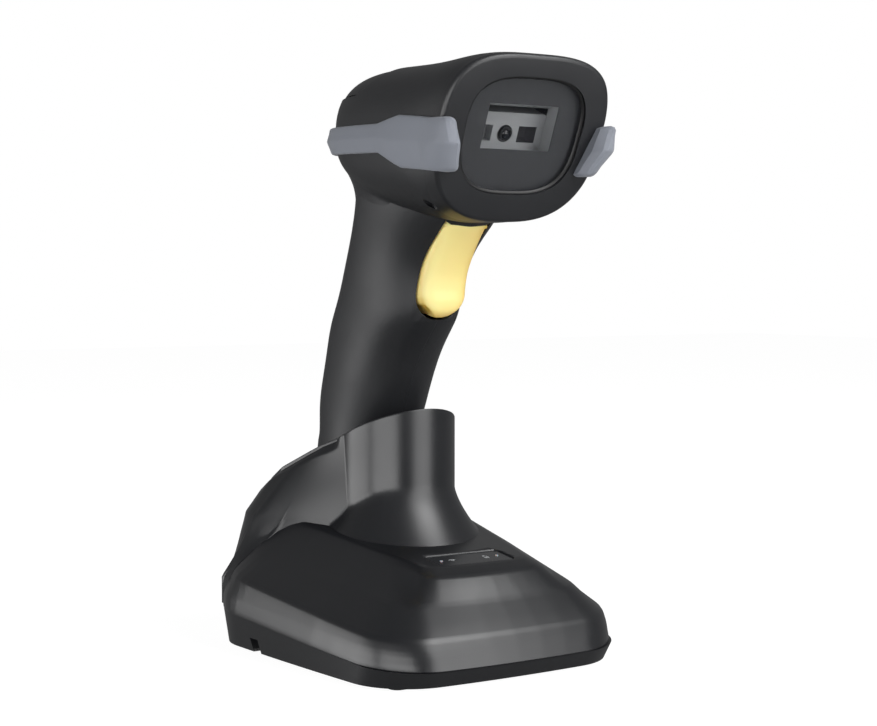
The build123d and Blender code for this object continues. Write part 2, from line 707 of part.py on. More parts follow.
# ---- Cradle: outer form, hollow and pocket ----
rim_plane = level(rim_z, -rim_fall)
rear_rim_plane = level(rim_z + (rim_rear_fall - rim_fall) * rim_break, -rim_rear_fall)
seam_plane = level(seam_level[0], seam_level[1])
cradle_form = lofted([cradle_section(v) for v in (tray_level, seam_level, *cradle_levels)], ruled=True)
cradle_hollow = lofted(
    [cradle_section(tray_level, cradle_wall), cradle_section(seam_level, cradle_wall)]
    + [cradle_section(v, cradle_wall, cradle_wall) for v in cradle_levels], ruled=True)
with BuildPart() as cradle_outer:
    add(cradle_form)
    add(shoulder_solid(0.0))
    add(collar_solid(0.0))
    split(bisect_by=rim_plane, keep=Keep.BOTTOM)
    split(bisect_by=rear_rim_plane, keep=Keep.BOTTOM)
with BuildPart() as cradle_inner:
    add(cradle_hollow)
    add(shoulder_solid(cradle_wall))
    add(collar_solid(cradle_wall))
    split(bisect_by=rear_rim_plane.offset(-cradle_wall), keep=Keep.BOTTOM)
pocket_floor = handle_bottom - rest_gap
pocket_high = rim_z + 10
with BuildPart() as pocket:
    add(handle_prism(pocket_floor, pocket_high, slide_gap))
    with BuildSketch(Plane.XY.offset(collar_bottom)):
        with Locations((0, collar_y)):
            Circle(collar_bore)
    extrude(amount=pocket_high - collar_bottom)
with BuildPart() as pocket_tub:
    add(handle_prism(pocket_floor - cradle_wall, pocket_high, slide_gap + cradle_wall))
    with BuildSketch(Plane.XY.offset(collar_bottom - cradle_wall)):
        with Locations((0, collar_y)):
            Circle(collar_bore + cradle_wall)
    extrude(amount=pocket_high - collar_bottom + cradle_wall)

# the panel's seat on the sloping front of the top level
top_level = cradle_levels[-1]
panel_plane = level(top_level[0], top_level[1])
panel_along = panel_y / cos(atan(top_level[1]))
block_top = pocket_floor
# screw bosses from the tray's floor up to the shell
with BuildPart() as shell_bosses:
    with BuildSketch(Plane.XY.offset(tray_floor + foot_height)):
        with Locations(*tray_screw_places):
            Circle(tray_boss_radius)
    extrude(amount=rim_z)
with BuildPart() as cradle_top_shell:
    add(cradle_outer.part)
    add(cradle_inner.part, mode=Mode.SUBTRACT)
    add(pocket_tub.part & cradle_outer.part)
    add(pocket.part, mode=Mode.SUBTRACT)
    add(shell_bosses.part & cradle_outer.part)
    split(bisect_by=seam_plane, keep=Keep.TOP)
    with BuildSketch(panel_plane):
        with Locations((0, panel_along)):
            RectangleRounded(panel_width + 2 * seat_gap, panel_length + 2 * seat_gap, panel_round)
    extrude(amount=-panel_thickness, mode=Mode.SUBTRACT)
    with BuildSketch(panel_plane):
        with Locations((-light_x, panel_along), (light_x, panel_along)):
            Circle(light_radius)
    extrude(amount=-light_length, mode=Mode.SUBTRACT)
    with Locations((0, grip_y, block_top - block_height / 2)):
        Box(block_width, block_length, block_height, mode=Mode.SUBTRACT)
    for x, y in tray_screw_places:
        with BuildSketch(Plane.XY):
            with Locations((x, y)):
                Circle(screw_radius)
        extrude(amount=tray_floor + foot_height + tray_screw_length, mode=Mode.SUBTRACT)
export("cradle_top_shell", cradle_top_shell.part)

# ---- Cradle: bottom tray with feet seats, bosses and the cable bay ----
with BuildPart() as cable_bay:
    # the room for the cord's plug, open below
    with Locations((0, bay_front + bay_length / 2, bay_height / 2)):
        Box(2 * bay_half, bay_length, bay_height)
    # the channel that leads the cord out on either side
    with Locations((0, cable_y, cable_height / 2)):
        Box(4 * past, cable_width, cable_height)
with BuildPart() as bay_walls:
    with Locations((0, bay_front + bay_length / 2, (bay_height + bay_wall) / 2)):
        Box(2 * (bay_half + bay_wall), bay_length + 2 * bay_wall, bay_height + bay_wall)
    with Locations((0, cable_y, (cable_height + bay_wall) / 2)):
        Box(4 * past, cable_width + 2 * bay_wall, cable_height + bay_wall)
tray_form = lofted([cradle_section(tray_level), cradle_section(seam_level)], ruled=True)
tray_hollow = lofted([cradle_section(tray_level, cradle_wall, -tray_floor),
                      cradle_section(seam_level, cradle_wall, -tray_rim_past)], ruled=True)
board_posts = [(x, y) for x in (-cradle_board_width / 2 + post_radius, cradle_board_width / 2 - post_radius)
               for y in (cradle_board_y - cradle_board_length / 2 + post_radius,
                         cradle_board_y + cradle_board_length / 2 - post_radius)]
with BuildPart() as cradle_bottom_tray:
    add(tray_form)
    add(tray_hollow, mode=Mode.SUBTRACT)
    add(bay_walls.part & tray_form)
    for x, y in tray_screw_places:
        with BuildSketch(Plane.XY.offset(foot_height)):
            with Locations((x, y)):
                Circle(tray_boss_radius)
        extrude(amount=tray_floor)
    for x, y in board_posts:
        with BuildSketch(Plane.XY.offset(foot_height)):
            with Locations((x, y)):
                Circle(post_radius)
        extrude(amount=cradle_board_z - foot_height)
    add(cable_bay.part, mode=Mode.SUBTRACT)
    with BuildSketch(Plane.XZ.offset(-bay_front)):
        with Locations((0, socket_z)):
            SlotOverall(socket_width + 2 * seat_gap, socket_height + 2 * seat_gap)
    extrude(amount=2 * bay_wall, mode=Mode.SUBTRACT)
    for x, y in foot_places:
        with BuildSketch(Plane.XY.offset(foot_height)):
            with Locations((x, y)):
                RectangleRounded(foot_length, foot_width, foot_round)
        extrude(amount=foot_sink, mode=Mode.SUBTRACT)
    for x, y in tray_screw_places:
        with BuildSketch(Plane.XY.offset(foot_height)):
            with Locations((x, y)):
                Circle(screw_radius)
        extrude(amount=tray_floor, mode=Mode.SUBTRACT)
        with BuildSketch(Plane.XY.offset(foot_height)):
            with Locations((x, y)):
                Circle(screw_head_radius + seat_gap)
        extrude(amount=tray_floor / 2, mode=Mode.SUBTRACT)
export("cradle_bottom_tray", cradle_bottom_tray.part)

with BuildPart() as rubber_feet:
    with BuildSketch(Plane.XY):
        with Locations(*foot_places):
            RectangleRounded(foot_length - 2 * seat_gap, foot_width - 2 * seat_gap, foot_round - seat_gap)
    extrude(amount=foot_height + foot_sink)
export("rubber_feet", rubber_feet.part)

with BuildPart() as tray_screws:
    for x, y in tray_screw_places:
        with BuildSketch(Plane.XY.offset(foot_height + seat_gap)):
            with Locations((x, y)):
                Circle(screw_head_radius)
        extrude(amount=tray_floor / 2 - seat_gap)
        with BuildSketch(Plane.XY.offset(foot_height + tray_floor / 2)):
            with Locations((x, y)):
                Circle(screw_radius)
        extrude(amount=tray_floor / 2 + tray_screw_length)
export("tray_screws", tray_screws.part)

with BuildPart() as ballast_plate:
    with BuildSketch(Plane.XY.offset(foot_height + tray_floor)):
        with Locations((0, ballast_y)):
            RectangleRounded(ballast_width, ballast_length, foot_round)
    extrude(amount=ballast_height)
export("ballast_plate", ballast_plate.part)

# ---- Cradle: board, and the socket that looks back into the cable bay ----
with BuildPart() as cradle_board:
    with Locations((0, cradle_board_y, cradle_board_z + board_thickness / 2)):
        Box(cradle_board_width, cradle_board_length, board_thickness)
export("cradle_board", cradle_board.part)

with BuildPart() as usb_socket:
    with BuildSketch(Plane.XZ.offset(-bay_front)):
        with Locations((0, socket_z)):
            SlotOverall(socket_width, socket_height)
            SlotOverall(socket_width - 2 * socket_wall, socket_height - 2 * socket_wall, mode=Mode.SUBTRACT)
    extrude(amount=socket_length)
    with BuildSketch(Plane.XZ.offset(-bay_front + socket_length)):
        with Locations((0, socket_z)):
            SlotOverall(socket_width, socket_height)
    extrude(amount=-socket_wall)
export("usb_socket", usb_socket.part)

# ---- Cradle: indicator panel and light pipes ----
with BuildPart() as indicator_panel:
    with BuildSketch(panel_plane):
        with Locations((0, panel_along)):
            RectangleRounded(panel_width, panel_length, panel_round)
        with Locations((-light_x, panel_along), (light_x, panel_along)):
            Circle(light_radius, mode=Mode.SUBTRACT)
    extrude(amount=-panel_thickness)
export("indicator_panel", indicator_panel.part)

with BuildPart() as status_light_pipes:
    with BuildSketch(panel_plane):
        with Locations((-light_x, panel_along), (light_x, panel_along)):
            Circle(light_radius - seat_gap / 2)
    extrude(amount=-light_length)
export("status_light_pipes", status_light_pipes.part)

# ---- Cradle: contact block, its sprung pins and their springs ----
pin_shoulder_z = block_top - cradle_wall
with BuildPart() as contact_block:
    with Locations((0, grip_y, block_top - block_height / 2)):
        Box(block_width - 2 * seat_gap, block_length - 2 * seat_gap, block_height)
    for x in contact_xs:
        with BuildSketch(Plane.XY.offset(block_top)):
            with Locations((x, grip_y)):
                Circle(pin_radius + running_gap)
        extrude(amount=-block_height + block_base, mode=Mode.SUBTRACT)
        with BuildSketch(Plane.XY.offset(pin_shoulder_z)):
            with Locations((x, grip_y)):
                Circle(pin_head_radius + running_gap)
        extrude(amount=-(block_height - cradle_wall - block_base), mode=Mode.SUBTRACT)
export("contact_block", contact_block.part)

for number, x in enumerate(contact_xs, start=1):
    with BuildPart() as contact_pin:
        with BuildSketch(Plane.XY.offset(pin_shoulder_z - pin_head_height)):
            with Locations((x, grip_y)):
                Circle(pin_radius)
        extrude(amount=pin_head_height + cradle_wall + pin_proud)
        fillet(contact_pin.edges().group_by(Axis.Z)[-1], pin_round)
        with BuildSketch(Plane.XY.offset(pin_shoulder_z)):
            with Locations((x, grip_y)):
                Circle(pin_head_radius)
        extrude(amount=-pin_head_height)
    export(f"contact_pin_{number}", contact_pin.part)

pin_spring_low = block_top - block_height + block_base
springs = [coil(pin_head_radius - 2 * pin_spring_wire, pin_spring_wire, pin_spring_pitch,
                pin_shoulder_z - pin_head_height - pin_spring_low - 2 * pin_spring_wire,
                Plane(origin=(x, grip_y, pin_spring_low + pin_spring_wire), z_dir=(0, 0, 1)))
           for x in contact_xs]
export("pin_springs", Compound(children=springs))
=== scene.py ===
"""Builds the looks of a cordless scanner that stands in its charging cradle."""

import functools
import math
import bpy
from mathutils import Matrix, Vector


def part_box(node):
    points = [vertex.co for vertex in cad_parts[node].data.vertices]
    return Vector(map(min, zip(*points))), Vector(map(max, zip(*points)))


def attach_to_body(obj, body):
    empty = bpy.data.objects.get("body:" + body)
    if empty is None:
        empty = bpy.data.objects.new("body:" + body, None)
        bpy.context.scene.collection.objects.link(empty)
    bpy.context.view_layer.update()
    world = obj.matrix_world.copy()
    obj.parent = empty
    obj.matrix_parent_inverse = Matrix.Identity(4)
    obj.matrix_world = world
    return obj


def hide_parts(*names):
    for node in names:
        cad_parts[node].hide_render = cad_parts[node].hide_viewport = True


bl_info = {
    "name": "Cordless scanner in its cradle",
    "version": (1, 0, 0),
    "blender": (4, 5, 0),
    "location": "View3D > Sidebar > Scanner",
    "description": "Builds the housing, trigger, bumper, cradle and stage of a cordless scanner",
    "category": "Add Mesh",
}

import bmesh
import bpy
import numpy as np
from mathutils import Vector
from mathutils.bvhtree import BVHTree

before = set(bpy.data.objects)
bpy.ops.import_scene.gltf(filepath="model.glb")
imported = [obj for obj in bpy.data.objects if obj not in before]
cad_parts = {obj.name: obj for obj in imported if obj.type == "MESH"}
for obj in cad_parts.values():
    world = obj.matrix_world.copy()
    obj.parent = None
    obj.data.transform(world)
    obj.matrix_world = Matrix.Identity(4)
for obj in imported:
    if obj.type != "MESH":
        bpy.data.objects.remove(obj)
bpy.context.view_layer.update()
MM = 0.001


# ---------------------------------------------------------------- helpers

def linear(code):
    """An sRGB hex colour as linear red, green, blue and alpha."""
    values = [int(code[i:i + 2], 16) / 255 for i in (1, 3, 5)]
    return tuple(v / 12.92 if v <= 0.04045 else ((v + 0.055) / 1.055) ** 2.4 for v in values) + (1.0,)


def shifted(colour, factor):
    """A linear colour made lighter or darker."""
    return tuple(min(1.0, c * factor) for c in colour[:3]) + (1.0,)


def put(tree, kind, sockets=None, **settings):
    """Adds a node with its settings; a socket gets a value, or a link from an output, a node's first output
    or each of a list of them."""
    node = tree.nodes.new(kind)
    for key, value in settings.items():
        setattr(node, key, value)
    for key, value in (sockets or {}).items():
        for source in value if isinstance(value, list) else [value]:
            if isinstance(source, (bpy.types.Node, bpy.types.NodeSocket)):
                output = source if isinstance(source, bpy.types.NodeSocket) else source.outputs[0]
                tree.links.new(output, node.inputs[key])
            else:
                node.inputs[key].default_value = value
    return node


def fresh_material(name):
    """An empty material and its node tree."""
    material = bpy.data.materials.new(name)
    material.use_nodes = True
    material.node_tree.nodes.clear()
    return material, material.node_tree


def on_object(tree):
    """The place on the object, which every pattern of a finish follows."""
    return put(tree, "ShaderNodeTexCoord").outputs["Object"]


def surface(material, tree, shader):
    """Joins a shader to the material's output."""
    put(tree, "ShaderNodeOutputMaterial", {"Surface": shader})
    return material


def linked(name, data):
    """A new object in the scene."""
    piece = bpy.data.objects.new(name, data)
    bpy.context.scene.collection.objects.link(piece)
    return piece


def piece_from(work, name, finish):
    """Turns a bmesh into a new object with one finish."""
    mesh = bpy.data.meshes.new(name)
    work.to_mesh(mesh)
    work.free()
    mesh.materials.clear()
    mesh.materials.append(materials[finish])
    return linked(name, mesh)


def mesh_piece(name, points, faces, finish, smooth_angle=38.0):
    """A new object from points in millimetres, merged, faces outwards, smooth but for its sharp edges."""
    raw = bpy.data.meshes.new(name)
    raw.from_pydata([Vector(p) * MM for p in points], [], faces)
    work = bmesh.new()
    work.from_mesh(raw)
    bpy.data.meshes.remove(raw)
    bmesh.ops.remove_doubles(work, verts=work.verts, dist=2e-6)
    bmesh.ops.dissolve_degenerate(work, edges=work.edges, dist=1e-7)
    bmesh.ops.recalc_face_normals(work, faces=work.faces)
    shade(work, smooth_angle)
    return piece_from(work, name, finish)


def shade(work, smooth_angle):
    """Smooth faces, with sharp edges where the faces meet at more than an angle in degrees."""
    for face in work.faces:
        face.smooth = True
    limit = math.radians(smooth_angle)
    for edge in work.edges:
        edge.smooth = len(edge.link_faces) == 2 and edge.calc_face_angle(0.0) < limit


def tube_faces(rings, columns, round_again=False):
    """Quads between closed rings of points, and the end faces or, if it runs round again, the last quads."""
    total = rings * columns
    faces = []
    for row in range(rings if round_again else rings - 1):
        for k in range(columns):
            a, b = row * columns + k, row * columns + (k + 1) % columns
            faces.append((a, b, (b + columns) % total, (a + columns) % total))
    if not round_again:
        faces += [tuple(reversed(range(columns))), tuple(range(total - columns, total))]
    return faces


def swept_piece(name, rings, finish, smooth_angle=38.0, round_again=False):
    """A closed piece from its rings of points in millimetres."""
    points = [tuple(point) for ring in rings for point in ring]
    return mesh_piece(name, points, tube_faces(len(rings), len(rings[0]), round_again), finish, smooth_angle)


def attach(piece, body, slot, *nodes):
    """Lets a piece ride on a body and hides the solids that it stands for; slot is not used."""
    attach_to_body(piece, body)
    if nodes:
        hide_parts(*nodes)
    return piece


def dressed_copy(node, name, finish, body, slot, sink=0.0):
    """A merged, smoothly shaded copy of a solid; sink takes its faces in, in millimetres."""
    work = bmesh.new()
    work.from_mesh(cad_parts[node].data)
    bmesh.ops.remove_doubles(work, verts=work.verts, dist=1e-6)
    bmesh.ops.recalc_face_normals(work, faces=work.faces)
    if sink:
        work.normal_update()
        moves = [vert.normal * vert.calc_shell_factor() * sink * MM for vert in work.verts]
        for vert, move in zip(work.verts, moves):
            vert.co -= move
    shade(work, 30.0)
    piece = piece_from(work, name, finish)
    normals = piece.data.attributes.get("custom_normal")
    if normals:
        piece.data.attributes.remove(normals)
    return attach(piece, body, slot, node)


def finish_nodes(finish, *nodes):
    """Gives a finish to solids that stay as they are."""
    for node in nodes:
        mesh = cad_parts[node].data
        mesh.materials.clear()
        mesh.materials.append(materials[finish])


def baked(piece):
    """Turns a piece and its modifiers into a plain mesh."""
    graph = bpy.context.evaluated_depsgraph_get()
    graph.update()
    mesh = bpy.data.meshes.new_from_object(piece.evaluated_get(graph), depsgraph=graph)
    piece.modifiers.clear()
    piece.data = mesh
    return piece


def surface_tree(*nodes):
    """A search tree over some solids."""
    work = bmesh.new()
    for node in nodes:
        work.from_mesh(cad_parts[node].data)
    tree = BVHTree.FromBMesh(work)
    work.free()
    return tree


def blend_step(value, low, high):
    """0 below low, 1 above high, smooth in between."""
    part = np.clip((np.asarray(value, float) - low) / (high - low), 0.0, 1.0)
    return part * part * (3 - 2 * part)


def squared(value, power):
    """A sine or cosine drawn out, so that it gives a rounded square instead of a circle."""
    return math.copysign(abs(value) ** (2 / power), value)


def full_turn(steps):
    """The angles of equal steps once round."""
    return [2 * math.pi * step / steps for step in range(steps)]


def curve_through(points, steps):
    """Points of a smooth line through some points, steps to each stretch."""
    line = []
    ends = [points[0], *points, points[-1]]
    for i in range(len(points) - 1):
        p0, p1, p2, p3 = (np.array(ends[i + j], float) for j in range(4))
        for step in range(steps):
            u = step / steps
            line.append(0.5 * (2 * p1 + (p2 - p0) * u + (2 * p0 - 5 * p1 + 4 * p2 - p3) * u * u
                               + (3 * p1 - p0 - 3 * p2 + p3) * u ** 3))
    line.append(np.array(points[-1], float))
    return line


# ---------------------------------------------------------------- materials

def moulded(name, colour, roughness, grain, relief, mottle=0.05, spread=0.06, sheen=0.0, subsurface=0.0,
            parting=False, edge=None):
    """Injection-moulded plastic. grain is the size of its texture and relief the depth of it, in millimetres;
    mottle varies its colour and spread its roughness over some centimetres; edge is a painted shade, a colour
    that the base colour turns to where the surface is seen at a slant, so that the outlines look shaded."""
    material, tree = fresh_material(name)
    place = on_object(tree)
    cloud = put(tree, "ShaderNodeTexNoise", {"Vector": place, "Scale": 1 / (22 * MM), "Detail": 3.0})
    grit = put(tree, "ShaderNodeTexNoise", {"Vector": place, "Scale": 1 / (grain * MM), "Detail": 2.0,
                                            "Roughness": 0.6})
    dark, pale = shifted(colour, 1 - mottle), shifted(colour, 1 + mottle)
    tint = put(tree, "ShaderNodeMix", {0: cloud, 6: dark, 7: pale}, data_type="RGBA")
    # painted shade: where the surface is seen at a slant its colour turns to the edge colour, so the outlines
    # look darker and more golden
    if edge:
        facing = put(tree, "ShaderNodeLayerWeight", {"Blend": 0.35})
        tint = put(tree, "ShaderNodeMix", {0: facing.outputs["Facing"], 6: tint.outputs[2], 7: edge},
                   data_type="RGBA")
    rough = put(tree, "ShaderNodeMapRange", {"Value": cloud, "From Min": 0.3, "From Max": 0.7,
                                             "To Min": roughness - spread / 2,
                                             "To Max": roughness + spread / 2})
    height = grit
    if parting:
        # the hairline where the two halves of the housing meet
        across = put(tree, "ShaderNodeSeparateXYZ", {"Vector": place}).outputs["X"]
        off = put(tree, "ShaderNodeMath", {0: across}, operation="ABSOLUTE")
        line = put(tree, "ShaderNodeMapRange", {"Value": off, "From Min": 0.08 * MM, "From Max": 0.3 * MM,
                                                "To Min": -2.5, "To Max": 0.0})
        height = put(tree, "ShaderNodeMath", {0: height, 1: line}, operation="ADD")
    bump = put(tree, "ShaderNodeBump", {"Height": height, "Strength": 0.6, "Distance": relief * MM})
    shader = put(tree, "ShaderNodeBsdfPrincipled", {
        "Base Color": tint.outputs[2], "Roughness": rough, "Normal": bump,
        "Sheen Weight": sheen, "Sheen Roughness": 0.5, "Subsurface Weight": subsurface,
        "Subsurface Scale": 2 * MM, "IOR": 1.52})
    return surface(material, tree, shader)


def metal(name, colour, roughness, scratch, across=(1.0, 1.0, 1.0)):
    """Plated or rolled metal; scratch is the spacing of its marks in millimetres, across draws them out."""
    material, tree = fresh_material(name)
    place = on_object(tree)
    drawn = put(tree, "ShaderNodeMapping", {"Vector": place, "Scale": across})
    marks = put(tree, "ShaderNodeTexNoise", {"Vector": drawn, "Scale": 1 / (scratch * MM), "Detail": 3.0})
    rough = put(tree, "ShaderNodeMapRange", {"Value": marks, "To Min": roughness - 0.08,
                                             "To Max": roughness + 0.1})
    bump = put(tree, "ShaderNodeBump", {"Height": marks, "Strength": 0.3, "Distance": 0.01 * MM})
    shader = put(tree, "ShaderNodeBsdfPrincipled", {
        "Base Color": colour, "Metallic": 1.0, "Roughness": rough, "Normal": bump})
    return surface(material, tree, shader)


def clear_plastic(name, colour, alpha, roughness, ripple):
    """Moulded acrylic or coated glass that the things behind it show through."""
    material, tree = fresh_material(name)
    place = on_object(tree)
    wave = put(tree, "ShaderNodeTexNoise", {"Vector": place, "Scale": 1 / (12 * MM), "Detail": 1.0})
    rough = put(tree, "ShaderNodeMapRange", {"Value": wave, "To Min": roughness,
                                             "To Max": roughness + 0.04})
    bump = put(tree, "ShaderNodeBump", {"Height": wave, "Strength": 0.2, "Distance": ripple * MM})
    shader = put(tree, "ShaderNodeBsdfPrincipled", {
        "Base Color": colour, "Roughness": rough, "Normal": bump, "Alpha": alpha,
        "IOR": 1.49, "Coat Weight": 0.3, "Coat Roughness": 0.03})
    return surface(material, tree, shader)


def circuit_board(name, colour):
    """Glass-fibre board: green solder mask over copper tracks a little more than half a millimetre apart."""
    material, tree = fresh_material(name)
    place = on_object(tree)
    tracks = put(tree, "ShaderNodeTexBrick", {
        "Vector": place, "Color1": colour, "Color2": shifted(colour, 1.5), "Mortar": linear("#123f24"),
        "Scale": 1.0, "Mortar Size": 0.2 * MM, "Brick Width": 4 * MM, "Row Height": 0.7 * MM})
    bump = put(tree, "ShaderNodeBump", {"Height": tracks.outputs[1], "Strength": 0.5, "Distance": 0.03 * MM})
    shader = put(tree, "ShaderNodeBsdfPrincipled", {
        "Base Color": tracks, "Roughness": 0.35, "Normal": bump})
    return surface(material, tree, shader)


def glowing(name, colour, strength):
    """A milky light guide with a little light of its own."""
    material, tree = fresh_material(name)
    place = on_object(tree)
    cloud = put(tree, "ShaderNodeTexNoise", {"Vector": place, "Scale": 1 / (1.5 * MM)})
    tint = put(tree, "ShaderNodeMix", {0: cloud, 6: colour, 7: shifted(colour, 1.15)},
               data_type="RGBA")
    shader = put(tree, "ShaderNodeBsdfPrincipled", {
        "Base Color": tint.outputs[2], "Roughness": 0.25, "Emission Color": colour,
        "Emission Strength": strength, "Subsurface Weight": 0.4, "Subsurface Scale": 1.5 * MM})
    return surface(material, tree, shader)


materials = {}


def make_materials(look):
    """Every finish of the object, from the colours in the panel."""
    body, cradle, trigger, bumper = (tuple(colour) + (1.0,) for colour in (
        look.housing_colour, look.cradle_colour, look.trigger_colour, look.bumper_colour))
    materials.update(
        # ABS from a spark-eroded mould: dull, with a fine even grain that breaks up the highlights.
        # The real grain is about 0.15 mm, and it is drawn at 0.6 mm, where it just shows.
        housing=moulded("ABS moulded, fine spark texture", body, 0.5, 0.6, 0.035, parting=True),
        # the same ABS from a smoother mould: softer and longer highlights
        bezel=moulded("ABS moulded, satin", body, 0.4, 0.7, 0.015),
        # ABS from a polished and lightly blasted mould: clear, slightly broken reflections
        cradle=moulded("ABS moulded, semi-gloss", cradle, 0.31, 0.8, 0.014, spread=0.06),
        # the same ABS from a coarser mould: a duller band under the glossy shell
        tray=moulded("ABS moulded, semi-matt", cradle, 0.42, 0.7, 0.03),
        # thermoplastic elastomer: chalky, with a soft bloom at its edges
        bumper=moulded("TPU moulded, matt", bumper, 0.62, 0.5, 0.03, mottle=0.03, sheen=0.12),
        # ABS in a bright colour, satin: light sinks in a little, so its shadows stay warm; a deeper gold is
        # painted on as shade where it is seen at a slant
        trigger=moulded("ABS moulded, yellow satin", trigger, 0.36, 0.9, 0.01, mottle=0.02, spread=0.04,
                        subsurface=0.1, edge=linear("#f0b93c")),
        # ink on the back of the pane: flat and even, a dark grey through the acrylic
        print=moulded("Screen print on acrylic", linear("#37383b"), 0.5, 0.4, 0.005, mottle=0.03),
        # glass-filled plastics: dull black with a dry, broken highlight
        black_part=moulded("PBT moulded, black", linear("#202124"), 0.45, 0.5, 0.02),
        contact_block=moulded("LCP moulded, black", linear("#1b1c1e"), 0.5, 0.5, 0.03),
        # rubber: the dullest black, hardly a highlight at all
        rubber=moulded("Silicone rubber", linear("#1c1c1e"), 0.75, 0.35, 0.05, mottle=0.08),
        # a polished plate: a clear reflection that sets it off from its seat
        panel=moulded("Polycarbonate label plate", linear("#232427"), 0.22, 0.6, 0.006),
        # opaque ink: pale grey without a highlight
        icon=moulded("Grey pad print", linear("#a9abad"), 0.5, 0.2, 0.003, mottle=0.02),
        # satin walls that spread the light evenly over the engine's face
        shroud=moulded("Polycarbonate moulded, light grey", linear("#a2a4a6"), 0.45, 0.5, 0.01, mottle=0.03),
        # a wiped bead: black, with one soft line of light along its crown
        groove=moulded("Silicone rubber, glossy", linear("#08080a"), 0.5, 0.35, 0.01),
        # thin film drawn tight: blue, with long smooth highlights
        sleeve=moulded("Shrink sleeve on a cell", linear("#2f5ea8"), 0.3, 1.2, 0.02),
        # polished sheet: nearly unseen but for a sharp, weak reflection
        acrylic=clear_plastic("Acrylic, polished", linear("#23262a"), 0.1, 0.02, 0.004),
        # coated glass: nearly black in itself, with a sharp reflection
        lens=clear_plastic("Optical glass, coated", linear("#14161c"), 0.96, 0.02, 0.002),
        dark_window=clear_plastic("Filter glass, dark", linear("#2b2a2e"), 0.95, 0.06, 0.002),
        # bare metals: zinc is bluish and clouded, drawn wire brighter, rolled sheet streaked along one way
        steel=metal("Steel, zinc plated", linear("#c4c6c8"), 0.3, 0.25),
        spring=metal("Spring steel, drawn", linear("#b9bbbd"), 0.28, 0.1),
        bright_strip=metal("Aluminium sheet, rolled", linear("#dcdddf"), 0.32, 0.3, (1, 0.1, 1)),
        # plating: warm and nearly a mirror
        gold=metal("Gold plate on brass", linear("#e0b968"), 0.22, 0.15),
        # tinned sheet: grey with a greasy lustre
        can=metal("Tinned steel screening can", linear("#b4b6b8"), 0.35, 0.5),
        # oiled black oxide: dark, with a broad dull sheen
        weight=metal("Steel plate, blackened", linear("#55565a"), 0.5, 0.8),
        board=circuit_board("Glass-fibre board, green mask", linear("#1d6b3a")),
        light=glowing("Polycarbonate light guide", linear("#a4a8ac"), 0.05))


# ---------------------------------------------------------------- sizes and colours that a user would change

class ScannerLook(bpy.types.PropertyGroup):
    """Colours and sizes of the scanner and its cradle."""

    housing_colour: bpy.props.FloatVectorProperty(
        name="Housing", description="Colour of the scanner's housing", subtype="COLOR", size=3, min=0, max=1,
        default=linear("#1b1c1f")[:3])
    cradle_colour: bpy.props.FloatVectorProperty(
        name="Cradle", description="Colour of the charging cradle", subtype="COLOR", size=3, min=0, max=1,
        default=linear("#17181b")[:3])
    trigger_colour: bpy.props.FloatVectorProperty(
        name="Trigger", description="Colour of the trigger", subtype="COLOR", size=3, min=0, max=1,
        default=linear("#fff0a2")[:3])
    bumper_colour: bpy.props.FloatVectorProperty(
        name="Bumper", description="Colour of the bumper band", subtype="COLOR", size=3, min=0, max=1,
        default=linear("#7c8089")[:3])
    bumper_thickness: bpy.props.FloatProperty(
        name="Bumper thickness", description="How far the bumper band stands off the head", unit="LENGTH",
        default=2.2 * MM, min=1 * MM, max=3 * MM)
    bumper_ridge: bpy.props.FloatProperty(
        name="Bumper ridge", description="Extra thickness along the middle of the band", unit="LENGTH",
        default=0.8 * MM, min=0.0, max=1.5 * MM)
    bumper_lip: bpy.props.FloatProperty(
        name="Bumper lip", description="How far the band's ends stand before the bezel's face", unit="LENGTH",
        default=5.6 * MM, min=2 * MM, max=8 * MM)
    trigger_crown: bpy.props.FloatProperty(
        name="Trigger crown", description="How far the trigger's edges lie behind its middle", unit="LENGTH",
        default=4.4 * MM, min=1 * MM, max=8 * MM)
    crease_softness: bpy.props.FloatProperty(
        name="Crease softness", description="Rounding of the cradle's creases", unit="LENGTH",
        default=0.9 * MM, min=0.2 * MM, max=2 * MM)
    columns: bpy.props.IntProperty(
        name="Cradle columns", description="Points round the cradle's shell", default=480, min=120, max=720)
    screw_recess: bpy.props.FloatProperty(
        name="Screw recess", description="Depth of the cross in each screw head", unit="LENGTH",
        default=1.0 * MM, min=0.2 * MM, max=1.5 * MM)


# ---------------------------------------------------------------- scanner

